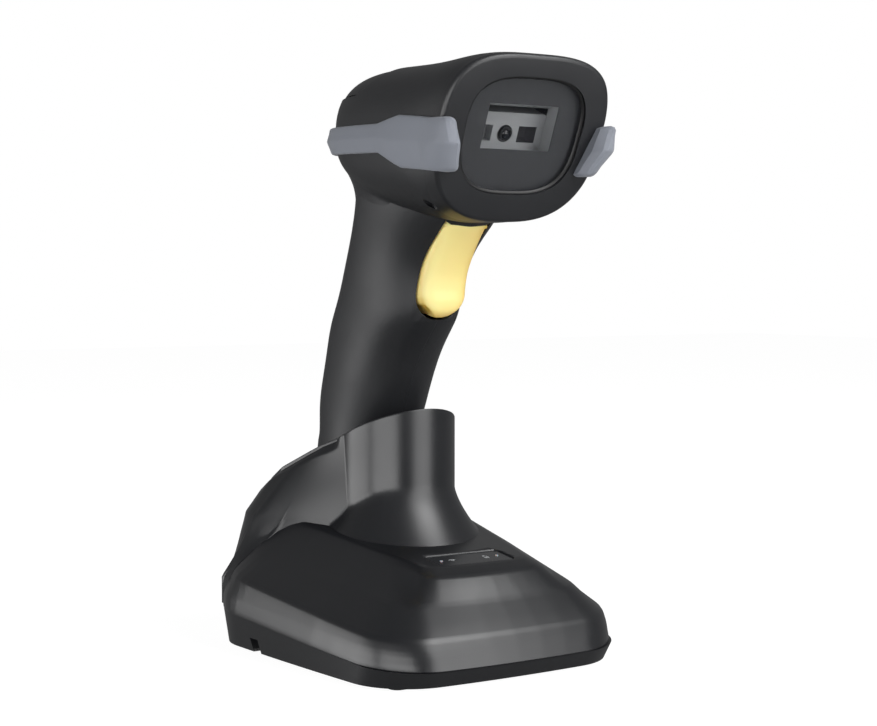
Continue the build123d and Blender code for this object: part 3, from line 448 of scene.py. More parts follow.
def bumper_rings(look):
    """Rings of the band's section, from its left end round the back of the head to its right end."""
    tree = surface_tree("left_body_shell", "right_body_shell", "front_bezel", "rear_top_cap")
    centre_y, reach, end_turn, columns, middle_z = -22.0, 120.0, 141.6, 361, 174.0
    top = ((-80.0, 176.0), (-34.5, 181.0), (-21.8, 179.2), (45.0, 181.6))
    bottom = ((-80.0, 160.2), (-34.5, 164.4), (-21.8, 169.9), (45.0, 172.6))

    def hit(turn, z):
        way = Vector((math.sin(turn), math.cos(turn), 0.0))
        start = Vector((0.0, centre_y, z)) + way * reach
        place = tree.ray_cast(start * MM, -way)[0]
        return place / MM if place else None

    turns = [math.radians(end_turn * (2 * k / (columns - 1) - 1)) for k in range(columns)]
    middle = [hit(turn, middle_z) for turn in turns]
    # the outward direction, level, from the line through the middle, smoothed over its neighbours
    ways = []
    for k in range(columns):
        along = (middle[min(k + 1, columns - 1)] - middle[max(k - 1, 0)]).normalized()
        ways.append(Vector((-along.y, along.x, 0.0)))
    for _ in range(2):
        ways = [(ways[max(k - 1, 0)] + ways[k] + ways[min(k + 1, columns - 1)]).normalized()
                for k in range(columns)]
    thick, ridge, lip = look.bumper_thickness / MM, look.bumper_ridge / MM, look.bumper_lip / MM
    # share of the height, and how far out, of the points of the section
    section = [(0.0, 0.05), (0.0, thick - 0.9), (0.025, thick - 0.4), (0.08, thick - 0.1),
               (0.2, thick + 0.05), (0.44, thick + ridge - 0.1), (0.5, thick + ridge),
               (0.56, thick + ridge - 0.1), (0.8, thick + 0.05), (0.92, thick - 0.1),
               (0.975, thick - 0.4), (1.0, thick - 0.9), (1.0, 0.05)]
    rings = []
    for k, (turn, way) in enumerate(zip(turns, ways)):
        low, high = (float(np.interp(middle[k].y, *zip(*edge))) for edge in (bottom, top))
        # the band thins out and its corners round off at either end
        whole = float(blend_step(min(k, columns - 1 - k), -1, 3))
        thin, trim = 0.4 + 0.6 * whole, 0.9 * (1 - whole)
        # the band stands off square to its sides, and further where it turns in front of the face
        ahead = max(-way.y, 0.0) ** 0.45
        aside = abs(way.x) ** (0.45 if way.y < 0 else 1.0)
        ring = []
        for share, out in section:
            z = low + trim + share * (high - low - 2 * trim)
            forward = out * way.y if way.y > 0 else -ahead * lip * out / thick
            shift = Vector((math.copysign(aside * out, way.x), forward, 0.0))
            ring.append((hit(turn, z) or middle[k]) + shift * thin)
        rings.append(ring)
    return rings


# the tongue of the trigger: half its width, where its round end starts, and that end's length and squareness
TONGUE_HALF, TONGUE_START, TONGUE_LENGTH, TONGUE_POWER = 8.6, 125.5, 9.7, 2.4


def tongue_half(z):
    """Half the width of the trigger at a height: it narrows towards the hinge, and its lower end is round."""
    top_start, top_length, top_power = 141.5, 13.0, 3.0
    below = min(max(TONGUE_START - z, 0.0) / TONGUE_LENGTH, 1.0)
    above = min(max(z - top_start, 0.0) / top_length, 0.9)
    return (TONGUE_HALF * (1 - below ** TONGUE_POWER) ** (1 / TONGUE_POWER)
            * (1 - above ** top_power) ** (1 / top_power))


def trigger_rings(look):
    """Rings of the trigger's section, from its hinge down to its heel."""
    profile = curve_through([(-14.0, 156.4), (-19.0, 152.6), (-23.4, 149.8), (-26.2, 147.4), (-25.9, 145.6),
                             (-22.7, 141.8), (-18.6, 136.3), (-15.4, 130.8), (-14.0, 125.8), (-13.5, 121.4),
                             (-11.9, 117.9), (-8.6, 116.1), (-4.8, 116.3), (-1.6, 117.2)], 8)
    squareness, back, columns, least_half, least_depth = 2.7, -0.05, 33, 1.6, 0.3
    crown = look.trigger_crown / MM
    lowest = min(range(len(profile)), key=lambda j: profile[j][1])
    rings = []
    for j, (y, z) in enumerate(profile):
        before, after = profile[max(j - 1, 0)], profile[min(j + 1, len(profile) - 1)]
        along = (after - before) / np.linalg.norm(after - before)
        inward = np.array((-along[1], along[0]))
        half = max(tongue_half(z if j < lowest else profile[lowest][1]), least_half)
        # the crown fades in below the hinge
        deep = min(crown * float(blend_step(j, 8, 36)) * half / TONGUE_HALF, max(least_depth, back - y))
        ring = []
        for i in range(columns):
            turn = math.pi * (i / (columns - 1) - 0.5)
            place = np.array((y, z)) + inward * deep * (1 - abs(math.cos(turn)) ** (2 / squareness))
            ring.append((half * squared(math.sin(turn), squareness), min(place[0], back), place[1]))
        tail = ring[-1][2]
        rings.append([(-half, back, tail), *ring, (half, back, tail)])
    return rings


def lip_rings():
    """Rings of the lip that rounds off the lower end of the trigger's opening, flush with the handle."""
    tree = surface_tree("left_body_shell", "right_body_shell")
    # the slot in the shells, the play round the tongue, the depth of the lip and the steps round it
    slot_half, slot_low, play, deep, steps = 9.6, 114.3, 0.55, 2.6, 61
    below = slot_low - 0.4

    def front(x, z):
        return tree.ray_cast(Vector((x, -60.0, z)) * MM, Vector((0.0, 1.0, 0.0)))[0].y / MM

    base = front(slot_half, below)
    rings = []
    for step in range(steps):
        turn = math.pi * (1 + step / (steps - 1))
        flat, fall = math.cos(turn), -math.sin(turn)
        inner = ((TONGUE_HALF + play) * squared(flat, TONGUE_POWER),
                 TONGUE_START - (TONGUE_LENGTH + play) * squared(fall, TONGUE_POWER))
        square = max(abs(flat), fall)
        outer = (slot_half * flat / square, TONGUE_START - (TONGUE_START - slot_low) * fall / square)
        middle = tuple(0.93 * near + 0.07 * far for near, far in zip(inner, outer))
        ring = []
        for (x, z), sink in ((inner, deep), (inner, 0.5), (inner, 0.2), (middle, 0.05), (outer, 0.02),
                             (outer, deep)):
            crown = front(x * 0.999, below) - base
            ring.append((x, front(math.copysign(slot_half, x or 1.0), z) + crown + sink, z))
        rings.append(ring)
    return rings


def neck_rings():
    """Rings of the fillet between the head and the handle: the gap is closed by a rolling disc."""
    tree = surface_tree("left_body_shell", "right_body_shell", "rear_top_cap")
    axis_y, low, high, step, disc, last_turn, columns = 12.0, 118.0, 170.0, 0.5, 17.0, 146.0, 121
    start, sunk, wall, fade = 110.0, 0.15, 1.2, (96, 144)
    heights = np.arange(low, high + step / 2, step)
    reach = int(disc / step)
    offsets = np.arange(-reach, reach + 1)
    cap = np.sqrt(np.maximum(disc ** 2 - (offsets * step) ** 2, 0.0))
    rings = []
    for k in range(columns):
        turn = math.radians(last_turn * (2 * k / (columns - 1) - 1))
        way = Vector((math.sin(turn), math.cos(turn), 0.0))
        axis = [Vector((0.0, axis_y, z)) for z in heights]
        hits = [tree.ray_cast((spot + way * start) * MM, -way)[0] / MM for spot in axis]
        seen = np.array([(place - spot).length for place, spot in zip(hits, axis)])
        wide = np.pad(seen, 2 * reach, mode="edge")
        grown = np.array([np.max(wide[i:i + 2 * reach + 1] + cap) for i in range(len(seen) + 2 * reach)])
        closed = np.array([np.min(grown[i:i + 2 * reach + 1] - cap) for i in range(len(seen))])
        share = 1 - float(blend_step(abs(math.degrees(turn)), *fade))
        outer = seen - sunk + share * np.maximum(closed - seen, 0.0)
        rings.append([spot + way * float(r) for spot, r in zip(axis, outer)]
                     + [spot + way * float(r) for spot, r in zip(axis[::-1], (seen - wall)[::-1])])
    return rings


# the middle of the window on the bezel's face, how far it leans, and the half width and half height of its
# clear field, in millimetres and degrees
WINDOW_Y, WINDOW_Z, WINDOW_LEAN, CLEAR_HALF, CLEAR_UP = -56.9, 176.1, 22.4, 13.5, 7.4


def on_window(x, up, depth):
    """A point given across and up the window and behind the face of the bezel, all in millimetres."""
    lean = math.radians(WINDOW_LEAN)
    return Vector((x, WINDOW_Y - up * math.sin(lean) + depth * math.cos(lean),
                   WINDOW_Z + up * math.cos(lean) + depth * math.sin(lean)))


class BuildHousing(bpy.types.Operator):
    """Builds the scanner's two housing halves, rear cap, status lens and end cap."""

    bl_idname = "scanner.build_housing"
    bl_label = "Housing"

    def execute(self, context):
        dressed_copy("left_body_shell", "housing_left", "housing", "scanner", "housing")
        dressed_copy("right_body_shell", "housing_right", "housing", "scanner", "housing")
        # the cap lies a little lower than the shells, which draws its seam
        dressed_copy("rear_top_cap", "top_cap", "housing", "scanner", "housing", sink=0.5)
        attach(swept_piece("neck_fillet", neck_rings(), "housing", 60.0), "scanner", "housing")
        attach(swept_piece("opening_lip", lip_rings(), "housing", 40.0), "scanner", "housing")
        dressed_copy("handle_end_cap", "end_cap", "housing", "scanner", "housing")
        finish_nodes("light", "status_lens")
        return {"FINISHED"}


class BuildWindow(bpy.types.Operator):
    """Builds the bezel, the window, its printed frame and its gasket."""

    bl_idname = "scanner.build_window"
    bl_label = "Bezel and window"

    def execute(self, context):
        dressed_copy("front_bezel", "bezel", "bezel", "scanner", "gloss_black")
        attach(self.bead(), "scanner", "black_rubber")
        # the pane stands clear of the print behind it by a hair, so the two faces don't fight
        dressed_copy("window_pane", "pane", "acrylic", "scanner", "clear", sink=0.04)
        finish_nodes("print", "window_mask")
        finish_nodes("rubber", "window_gasket")
        return {"FINISHED"}

    def bead(self):
        """The dark bead of the gasket that shows between the bezel and the pane."""
        half, up, down, power = 22.8, 17.4, 21.7, 3.0
        rings = []
        for inset, depth in ((0.02, 1.19), (0.02, 0.7), (0.35, 0.62), (0.8, 0.85), (1.0, 1.19)):
            ring = []
            for turn in full_turn(120):
                reach = (up if math.sin(turn) > 0 else down) - inset
                ring.append(on_window((half - inset) * squared(math.cos(turn), power),
                                      reach * squared(math.sin(turn), power), depth))
            rings.append(ring)
        return swept_piece("window_bead", rings, "groove", 60.0, round_again=True)


class BuildEngine(bpy.types.Operator):
    """Builds the scan engine that shows through the window."""

    bl_idname = "scanner.build_engine"
    bl_label = "Scan engine"

    def execute(self, context):
        dressed_copy("engine_housing", "engine_block", "shroud", "scanner", "mask")
        attach(self.shroud(), "scanner", "mask")
        # a turned barrel, as radius and depth, with a small dome of coated glass in it
        barrel = self.turned("lens_barrel", "black_part", [
            (2.3, 10.2), (2.3, 9.2), (2.1, 9.0), (1.75, 9.0), (1.6, 9.3), (1.6, 9.9)])
        attach(barrel, "scanner", "clear", "camera_lens")
        glass = self.turned("lens_glass", "lens", [
            (1.59, 9.8), (1.5, 9.45), (1.2, 9.15), (0.8, 8.98), (0.4, 8.9), (0.1, 8.88)])
        attach(glass, "scanner", "clear")
        finish_nodes("acrylic", "illumination_lens")
        finish_nodes("dark_window", "aimer_lens")
        finish_nodes("bright_strip", "engine_bracket")
        return {"FINISHED"}

    def shroud(self):
        """Four walls that lead from the edge of the clear field to the face of the engine."""
        # depth, how much wider and taller than the clear field, and how far the engine's face lies lower
        sections = ((3.1, 0.05, 0.05, 0.0), (9.95, 1.3, 0.0, 4.4), (9.95, 1.9, 0.6, 4.4),
                    (3.1, 0.65, 0.65, 0.0))
        rings = []
        for depth, wider, taller, drop in sections:
            # the upper wall leans down less than the lower one
            corners = ((-1, -1, drop), (1, -1, drop), (1, 1, 0.6 * drop), (-1, 1, 0.6 * drop))
            rings.append([on_window(x * (CLEAR_HALF + wider), up * (CLEAR_UP + taller) - lower, depth)
                          for x, up, lower in corners])
        return swept_piece("engine_shroud", rings, "shroud", round_again=True)

    def turned(self, name, finish, line):
        """A piece turned about the camera lens's axis from a line of radii and depths."""
        lens_up = -4.4
        rings = [[on_window(radius * math.cos(turn), lens_up + radius * math.sin(turn), depth)
                  for turn in full_turn(40)] for radius, depth in line]
        return swept_piece(name, rings, finish)


class BuildBumper(bpy.types.Operator):
    """Builds the soft band round the head, with its ridge and folded ends."""

    bl_idname = "scanner.build_bumper"
    bl_label = "Bumper band"

    def execute(self, context):
        band = swept_piece("bumper", bumper_rings(context.scene.scanner_look), "bumper", 24.0)
        attach(band, "scanner", "soft", "bumper_band")
        return {"FINISHED"}


class BuildTrigger(bpy.types.Operator):
    """Builds the crowned trigger."""

    bl_idname = "scanner.build_trigger"
    bl_label = "Trigger"

    def execute(self, context):
        lever = swept_piece("trigger_lever", trigger_rings(context.scene.scanner_look), "trigger", 50.0)
        attach(lever, "trigger", "yellow", "trigger")
        finish_nodes("spring", "trigger_pin", "trigger_spring")
        return {"FINISHED"}


class BuildElectronics(bpy.types.Operator):
    """Finishes the boards, modules, cell, switch and contacts."""

    bl_idname = "scanner.build_electronics"
    bl_label = "Electronics"

    def execute(self, context):
        finish_nodes("board", "main_board", "trigger_board", "cradle_board")
        finish_nodes("can", "radio_module")
        finish_nodes("sleeve", "battery_cell")
        finish_nodes("black_part", "buzzer", "trigger_switch", "switch_plunger")
        finish_nodes("steel", "usb_socket")
        finish_nodes("contact_block", "contact_block")
        finish_nodes("spring", "pin_springs")
        finish_nodes("weight", "ballast_plate")
        finish_nodes("gold", "charge_contacts", *(f"contact_pin_{number}" for number in range(1, 5)))
        return {"FINISHED"}


# ---------------------------------------------------------------- screws, made by a tree of geometry nodes

def screw_tree(name, head_radius, head_height, shank_radius):
    """A tree that puts a cross-head screw on each point, its shank along -Z before it is turned."""
    tree = bpy.data.node_groups.new(name, "GeometryNodeTree")
    for label, kind in (("Geometry", "Geometry"), ("Recess depth", "Float"), ("Shank length", "Float"),
                        ("Turn", "Vector")):
        tree.interface.new_socket(label, in_out="INPUT", socket_type="NodeSocket" + kind)
    tree.interface.new_socket("Geometry", in_out="OUTPUT", socket_type="NodeSocketGeometry")
    entry = put(tree, "NodeGroupInput")
    head = put(tree, "GeometryNodeMeshCylinder", {"Vertices": 40, "Radius": head_radius,
                                                  "Depth": head_height})
    raised = put(tree, "GeometryNodeTransform", {"Geometry": head, "Translation": (0, 0, head_height / 2)})
    arms = []
    for wide, deep in ((1.15, 0.3), (0.3, 1.15)):
        size = put(tree, "ShaderNodeCombineXYZ", {"X": head_radius * wide, "Y": head_radius * deep,
                                                  "Z": entry.outputs["Recess depth"]})
        arm = put(tree, "GeometryNodeMeshCube", {"Size": size})
        arms.append(put(tree, "GeometryNodeTransform", {"Geometry": arm, "Translation": (0, 0, head_height)}))
    cross = put(tree, "GeometryNodeMeshBoolean", {"Mesh 1": raised, "Mesh 2": arms}, operation="DIFFERENCE")
    shank = put(tree, "GeometryNodeMeshCylinder", {"Vertices": 20, "Radius": shank_radius,
                                                   "Depth": entry.outputs["Shank length"]})
    half = put(tree, "ShaderNodeMath", {0: entry.outputs["Shank length"], 1: -0.5}, operation="MULTIPLY")
    drop = put(tree, "ShaderNodeCombineXYZ", {"Z": half})
    lowered = put(tree, "GeometryNodeTransform", {"Geometry": shank, "Translation": drop})
    screw = put(tree, "GeometryNodeJoinGeometry", {"Geometry": [cross, lowered]})
    turned = put(tree, "FunctionNodeEulerToRotation", {0: entry.outputs["Turn"]})
    spread = put(tree, "GeometryNodeInstanceOnPoints", {"Points": entry.outputs["Geometry"],
                                                        "Instance": screw, "Rotation": turned})
    real = put(tree, "GeometryNodeRealizeInstances", {"Geometry": spread})
    flat = put(tree, "GeometryNodeSetShadeSmooth", {"Geometry": real, "Shade Smooth": False})
    dressed = put(tree, "GeometryNodeSetMaterial", {"Geometry": flat, "Material": materials["steel"]})
    put(tree, "NodeGroupOutput", {"Geometry": dressed})
    return tree


def screw_set(name, tree, places, recess, shank, turn):
    """A plain mesh of screws at some places in millimetres."""
    mesh = bpy.data.meshes.new(name)
    mesh.from_pydata([Vector(p) * MM for p in places], [], [])
    piece = linked(name, mesh)
    modifier = piece.modifiers.new("Screws", "NODES")
    modifier.node_group = tree
    values = {"Recess depth": recess, "Shank length": shank * MM, "Turn": turn}
    for item in tree.interface.items_tree:
        if item.item_type == "SOCKET" and item.in_out == "INPUT" and item.name in values:
            modifier[item.identifier] = values[item.name]
    return baked(piece)


class BuildScrews(bpy.types.Operator):
    """Puts the housing's and the tray's screws in their seats."""

    bl_idname = "scanner.build_screws"
    bl_label = "Screws"

    def execute(self, context):
        look = context.scene.scanner_look
        tree = screw_tree("Cross-head screw", 2.5 * MM, 1.8 * MM, 1.2 * MM)
        seats = ((8.0, 23.0, 84.0), (8.0, 13.5, 106.0), (12.0, 12.0, 158.0))
        housing = screw_set("housing_screws", tree, seats, look.screw_recess, 13.0, (0.0, math.pi / 2, 0.0))
        attach(housing, "scanner", "metal", "body_screws")
        tree = screw_tree("Cross-head tray screw", 2.45 * MM, 0.9 * MM, 1.2 * MM)
        seat_depth = 1.0
        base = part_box("cradle_bottom_tray")[0].z / MM + seat_depth
        seats = [(x, y, base) for x, y in ((-34.0, -28.0), (34.0, -28.0), (-44.0, 40.0), (44.0, 40.0))]
        tray = screw_set("tray_screw_set", tree, seats, look.screw_recess, 9.8, (math.pi, 0.0, 0.0))
        attach(tray, "cradle", "metal", "tray_screws")
        return {"FINISHED"}


# ---------------------------------------------------------------- cradle

COLLAR = np.array((0.0, 20.1))  # the collar's axis in plan
BASE_TOP, BASE_RISE = 39.9, 0.14  # height of the base's top face at y = 0, and how it rises to the rear


def rounded_outline(corners, radii, steps=12):
    """A closed outline in plan with rounded corners."""
    points = []
    corners = [np.array(c, float) for c in corners]
    for i, corner in enumerate(corners):
        back = corners[i - 1] - corner
        ahead = corners[(i + 1) % len(corners)] - corner
        back, ahead = back / np.linalg.norm(back), ahead / np.linalg.norm(ahead)
        half = math.acos(float(np.clip(back @ ahead, -1, 1))) / 2
        middle = (back + ahead) / np.linalg.norm(back + ahead)
        centre = corner + middle * radii[i] / math.sin(half)
        start = corner + back * radii[i] / math.tan(half) - centre
        end = corner + ahead * radii[i] / math.tan(half) - centre
        first = math.atan2(start[1], start[0])
        sweep = (math.atan2(end[1], end[0]) - first + math.pi) % (2 * math.pi) - math.pi
        for step in range(steps + 1):
            turn = first + sweep * step / steps
            points.append(centre + radii[i] * np.array((math.cos(turn), math.sin(turn))))
    return points


def bowed_outline(front_half, rear_half, front, rear, front_radius, rear_radius):
    """One level of the base: wider at its rear, its front and sides bowed outwards."""
    front_crown, side_crown = 2.6, 1.6
    corner = front + front_crown
    outline = rounded_outline(
        [(-front_half, corner), (front_half, corner), (rear_half, rear), (-rear_half, rear)],
        [front_radius, front_radius, rear_radius, rear_radius])
    dense = []
    for i, point in enumerate(outline):
        ahead = outline[(i + 1) % len(outline)]
        for step in range(6):
            x, y = point + (ahead - point) * step / 6
            bow = front_crown * max(0.0, 1 - (x / front_half) ** 2) if y < corner + front_radius else 0.0
            along = min(max((y - corner) / (rear - corner), 0.0), 1.0)
            side = side_crown * 4 * along * (1 - along) * (abs(x) / front_half) ** 2
            dense.append((x + math.copysign(min(side, side_crown), x), y - bow))
    return dense


def reach_of(outline, turns, centre=COLLAR):
    """Distance from a centre to a closed outline in each direction, or 0 where the outline isn't met."""
    points = np.array(outline) - centre
    edges = np.roll(points, -1, axis=0) - points
    found = []
    for turn in turns:
        way = (math.cos(turn), math.sin(turn))
        cross = way[0] * edges[:, 1] - way[1] * edges[:, 0]
        cross = np.where(np.abs(cross) < 1e-12, 1e-12, cross)
        along = (points[:, 0] * edges[:, 1] - points[:, 1] * edges[:, 0]) / cross
        part = (points[:, 0] * way[1] - points[:, 1] * way[0]) / cross
        found.append(along[(part >= -1e-9) & (part <= 1 + 1e-9) & (along > 0)].max(initial=0.0))
    return np.array(found)


def rim_height(y):
    """The rim falls to the rear, and more steeply behind its break."""
    height, fall, break_y, rear_fall = 84.3, 0.44, 30.0, 0.59
    return height - fall * y - (rear_fall - fall) * np.maximum(y - break_y, 0.0)


def pocket_outline(z):
    """The handle's section, with its slide gap, at a height, and the middle of it."""
    half, rear, front, gap, power = 17.2, 17.2, 20.1, 0.6, 2.3
    centre = 45.1 - 0.2 * (z - 42.0)
    points = []
    for turn in full_turn(96):
        reach = (rear if math.sin(turn) > 0 else front) + gap
        points.append(((half + gap) * squared(math.cos(turn), power),
                       centre + reach * squared(math.sin(turn), power)))
    return points, np.array((0.0, centre))


def base_lines(turns, ways):
    """Radius and height of the base's levels in each direction, the last of them on the collar's axis."""
    levels = [  # height at y = 0, rise to the rear, then the outline
        (10.5, 0.079, (46.8, 58.8, -55.4, 65.4, 21.0, 29.0)),
        (15.7, 0.072, (46.0, 58.8, -53.9, 65.4, 19.0, 29.0)),
        (21.8, 0.118, (45.0, 56.6, -52.2, 64.2, 17.0, 32.0)),
        (29.8, 0.11, (35.2, 47.5, -43.8, 61.2, 9.0, 24.0)),
        (38.1, 0.14, (23.4, 36.6, -38.2, 57.4, 5.0, 16.0)),
        (BASE_TOP, BASE_RISE, (20.4, 34.0, -33.2, 56.4, 4.0, 15.0)),
    ]
    radii = [reach_of(bowed_outline(*outline), turns) for _, _, outline in levels] + [np.zeros(len(turns))]
    slopes = [(z, rise) for z, rise, _ in levels] + [(BASE_TOP, BASE_RISE)]
    heights = [z + rise * (COLLAR[1] + r * ways[:, 1]) for (z, rise), r in zip(slopes, radii)]
    return np.array(radii), np.array(heights)


def shoulder_lines(turns):
    """Radius of the shoulders in each direction at a few heights, from the lowest up to the rim."""
    lines = []
    # half width and y of the front, half width and y of the sides' start, the rear, its radius and the sides'
    for front_half, front, side_half, side_y, rear, radius, edge in (
            (21.2, 17.5, 53.0, 47.0, 65.2, 25.0, 12.0), (21.1, 17.5, 50.2, 46.0, 65.2, 22.0, 10.0),
            (20.9, 17.6, 45.5, 44.5, 65.2, 18.0, 7.0), (20.6, 17.8, 42.6, 44.0, 65.2, 16.0, 5.0),
            (19.8, 18.2, 33.4, 46.0, 64.2, 12.0, 4.0)):
        corners = [(-front_half, front), (front_half, front), (side_half, side_y), (side_half, rear),
                   (-side_half, rear), (-side_half, side_y)]
        lines.append(reach_of(rounded_outline(corners, [0.6, 0.6, edge, radius, radius, edge]), turns))
    return lines


def cradle_column(line_r, line_z, wall, top, soft):
    """Radius and height of one column of points, over the base along its line and up the wall to the top.

    wall gives how far out the wall reaches at a height, and soft how far the line's creases are rounded."""
    marks = np.concatenate(([0.0], np.cumsum(np.hypot(np.diff(line_r), np.diff(line_z)))))
    fine = np.linspace(0, marks[-1], 900)
    margin = np.interp(fine, marks, line_r) - wall(np.interp(fine, marks, line_z))
    first = int(np.argmax(margin <= 0))
    share = margin[first - 1] / (margin[first - 1] - margin[first])
    foot = fine[first - 1] + share * (fine[first] - fine[first - 1])
    foot_point = tuple(float(np.interp(foot, marks, values)) for values in (line_r, line_z))

    def on_base(s):
        """A point of the base's line, its creases rounded; from the foot of the wall on, the foot itself."""
        if s >= foot - 0.4:
            return foot_point
        ends = [min(max(s + d, 0.0), marks[-1]) for d in (-soft, soft)]
        return tuple(float(np.mean([np.interp(e, marks, values) for e in ends]))
                     for values in (line_r, line_z))

    # the seam's rounded edge
    column = [(line_r[0] - inset, line_z[0] + rise)
              for inset, rise in ((0.45, 0.0), (0.12, 0.12), (0.0, 0.45))]
    crease_marks = [m * soft for m in (-1.6, -0.8, -0.3, 0.0, 0.3, 0.8, 1.6)]
    last = 1.2
    for mark in marks[1:6]:
        column.append(on_base(0.5 * (last + mark + crease_marks[0])))
        column += [on_base(mark + m) for m in crease_marks]
        last = mark + crease_marks[-1]
    for part in np.linspace(0.2, 0.8, 4):
        column.append(on_base(last + (foot - last) * part) if foot > last else foot_point)
    return column + [(float(wall(z)), z) for z in np.linspace(foot_point[1], top, 40)]


def outer_rings(look, turns, ways):
    """Rings from the seam over the base, the flare and the shoulders to just under the rim."""
    radii, heights = base_lines(turns, ways)
    shoulders = shoulder_lines(turns)
    collar_radius, flare_radius, flare_foot, under_rim = 21.0, 31.4, 38.0, 0.9
    # the flare starts highest straight ahead
    off_front = np.abs((turns + math.pi / 2 + math.pi) % (2 * math.pi) - math.pi)
    flare_top = 57.6 - 8.0 * blend_step(off_front, math.radians(35), math.radians(96))
    rim = rim_height(COLLAR[1] + np.maximum(collar_radius, shoulders[-1]) * ways[:, 1])

    def wall(k, z):
        """How far out the collar, its flare or the shoulders reach at heights z in direction k."""
        share = np.clip((flare_top[k] - z) / (flare_top[k] - flare_foot), 0.0, 1.0)
        collar = collar_radius + (flare_radius - collar_radius) * share ** 1.45
        side = np.interp(z, (24.0, 29.2, 38.6, 45.7, rim[k]), [line[k] for line in shoulders])
        proud = blend_step(side - collar, 0.4, 3.0)
        # a chamfer along the shoulders' rim
        side = side - 2.4 * proud * np.clip((z - rim[k] + 4.2) / 4.2, 0.0, 1.0)
        return np.maximum(collar, side)

    soft = look.crease_softness / MM
    columns = [cradle_column(radii[:, k], heights[:, k], functools.partial(wall, k), rim[k] - under_rim, soft)
               for k in range(len(turns))]
    rows = np.array(columns).transpose(1, 0, 2)
    return [np.column_stack((COLLAR + ways * row[:, :1], row[:, 1])) for row in rows], rows[-1][:, 0]


def pocket_rings(rim_radius, turns, ways):
    """Rings over the rim, down into the pocket and to its floor."""
    least, ledge, floor = 18.5, 50.0, 41.6

    def along_rim(radius, drop):
        """A ring that lies a little below the rim all round."""
        plan = COLLAR + ways * radius[:, None]
        return np.column_stack((plan, rim_height(plan[:, 1]) - drop))

    def bore(z_values):
        """How far the pocket reaches at the heights given for each direction."""
        found = np.zeros(len(turns))
        levels = np.round(z_values, 0)
        for z in np.unique(levels):
            picked = levels == z
            found[picked] = reach_of(pocket_outline(float(z))[0], turns[picked])
        return np.maximum(found, least)

    # the rim's rounded outer and inner edges
    rings = [along_rim(rim_radius - inset, drop)
             for inset, drop in ((0.0, 0.5), (0.12, 0.22), (0.4, 0.05), (0.9, 0.0))]
    inner = np.full(len(turns), least)
    for _ in range(3):
        inner = bore(rim_height(COLLAR[1] + inner * ways[:, 1]))
    rings += [along_rim(inner + inset, drop)
              for inset, drop in ((0.9, 0.0), (0.4, 0.05), (0.12, 0.22), (0.0, 0.7))]
    top = rings[-1][:, 2]
    for part in (0.3, 0.6, 1.0):
        z = top + (ledge - top) * part
        rings.append(np.column_stack((COLLAR + ways * bore(z)[:, None], z)))
    # below the ledge the pocket is the handle's section alone
    edge = rings[-1]
    for z in (ledge, floor):
        outline, centre = pocket_outline(z)
        seen = np.arctan2(edge[:, 1] - centre[1], edge[:, 0])
        reach = reach_of(outline, seen, centre)[:, None]
        plan = centre + np.stack((np.cos(seen), np.sin(seen)), axis=1) * reach
        rings.append(np.column_stack((plan, np.full(len(turns), z))))
    return rings


def slab(name, outline, low, high, finish):
    """A flat piece on the indicator panel's seat, from an outline and two heights above the base's top."""
    seat_y, turn = -26.2, math.atan(BASE_RISE)
    centre = Vector((0.0, seat_y, BASE_TOP + BASE_RISE * seat_y))
    along = Vector((0.0, math.cos(turn), math.sin(turn)))
    up = Vector((0.0, -math.sin(turn), math.cos(turn)))
    rings = [[centre + Vector((x, 0.0, 0.0)) + along * y + up * height for x, y in outline]
             for height in (low, high)]
    return swept_piece(name, rings, finish)


def join(pieces, name, finish):
    """Joins pieces of one finish into a new one."""
    work = bmesh.new()
    for piece in pieces:
        work.from_mesh(piece.data)
        bpy.data.objects.remove(piece)
    return piece_from(work, name, finish)


def rounded_rectangle(width, height, radius, x=0.0, y=0.0):
    """A rounded rectangle round a centre."""
    w, h = width / 2, height / 2
    return [(float(px) + x, float(py) + y) for px, py in
            rounded_outline([(-w, -h), (w, -h), (w, h), (-w, h)], [radius] * 4, 6)]


class BuildCradle(bpy.types.Operator):
    """Builds the cradle's shell, with its collar, flare, shoulders, pocket and panel seat."""

    bl_idname = "scanner.build_cradle"
    bl_label = "Cradle shell"

    def execute(self, context):
        look = context.scene.scanner_look
        turns = np.array(full_turn(look.columns))
        ways = np.stack((np.cos(turns), np.sin(turns)), axis=1)
        rings, rim_radius = outer_rings(look, turns, ways)
        shell = swept_piece("cradle_shell", rings + pocket_rings(rim_radius, turns, ways), "cradle", 34.0)
        cutter = slab("panel_cutter", rounded_rectangle(30.2, 11.7, 1.7), -0.85, 2.0, "cradle")
        cut = shell.modifiers.new("Panel seat", "BOOLEAN")
        cut.operation, cut.object, cut.solver = "DIFFERENCE", cutter, "EXACT"
        baked(shell)
        bpy.data.objects.remove(cutter)
        attach(shell, "cradle", "cradle", "cradle_top_shell")
        return {"FINISHED"}


class BuildTray(bpy.types.Operator):
    """Builds the bottom tray and its feet."""

    bl_idname = "scanner.build_tray"
    bl_label = "Tray and feet"

    def execute(self, context):
        dressed_copy("cradle_bottom_tray", "tray", "tray", "cradle", "cradle")
        finish_nodes("rubber", "rubber_feet")
        return {"FINISHED"}


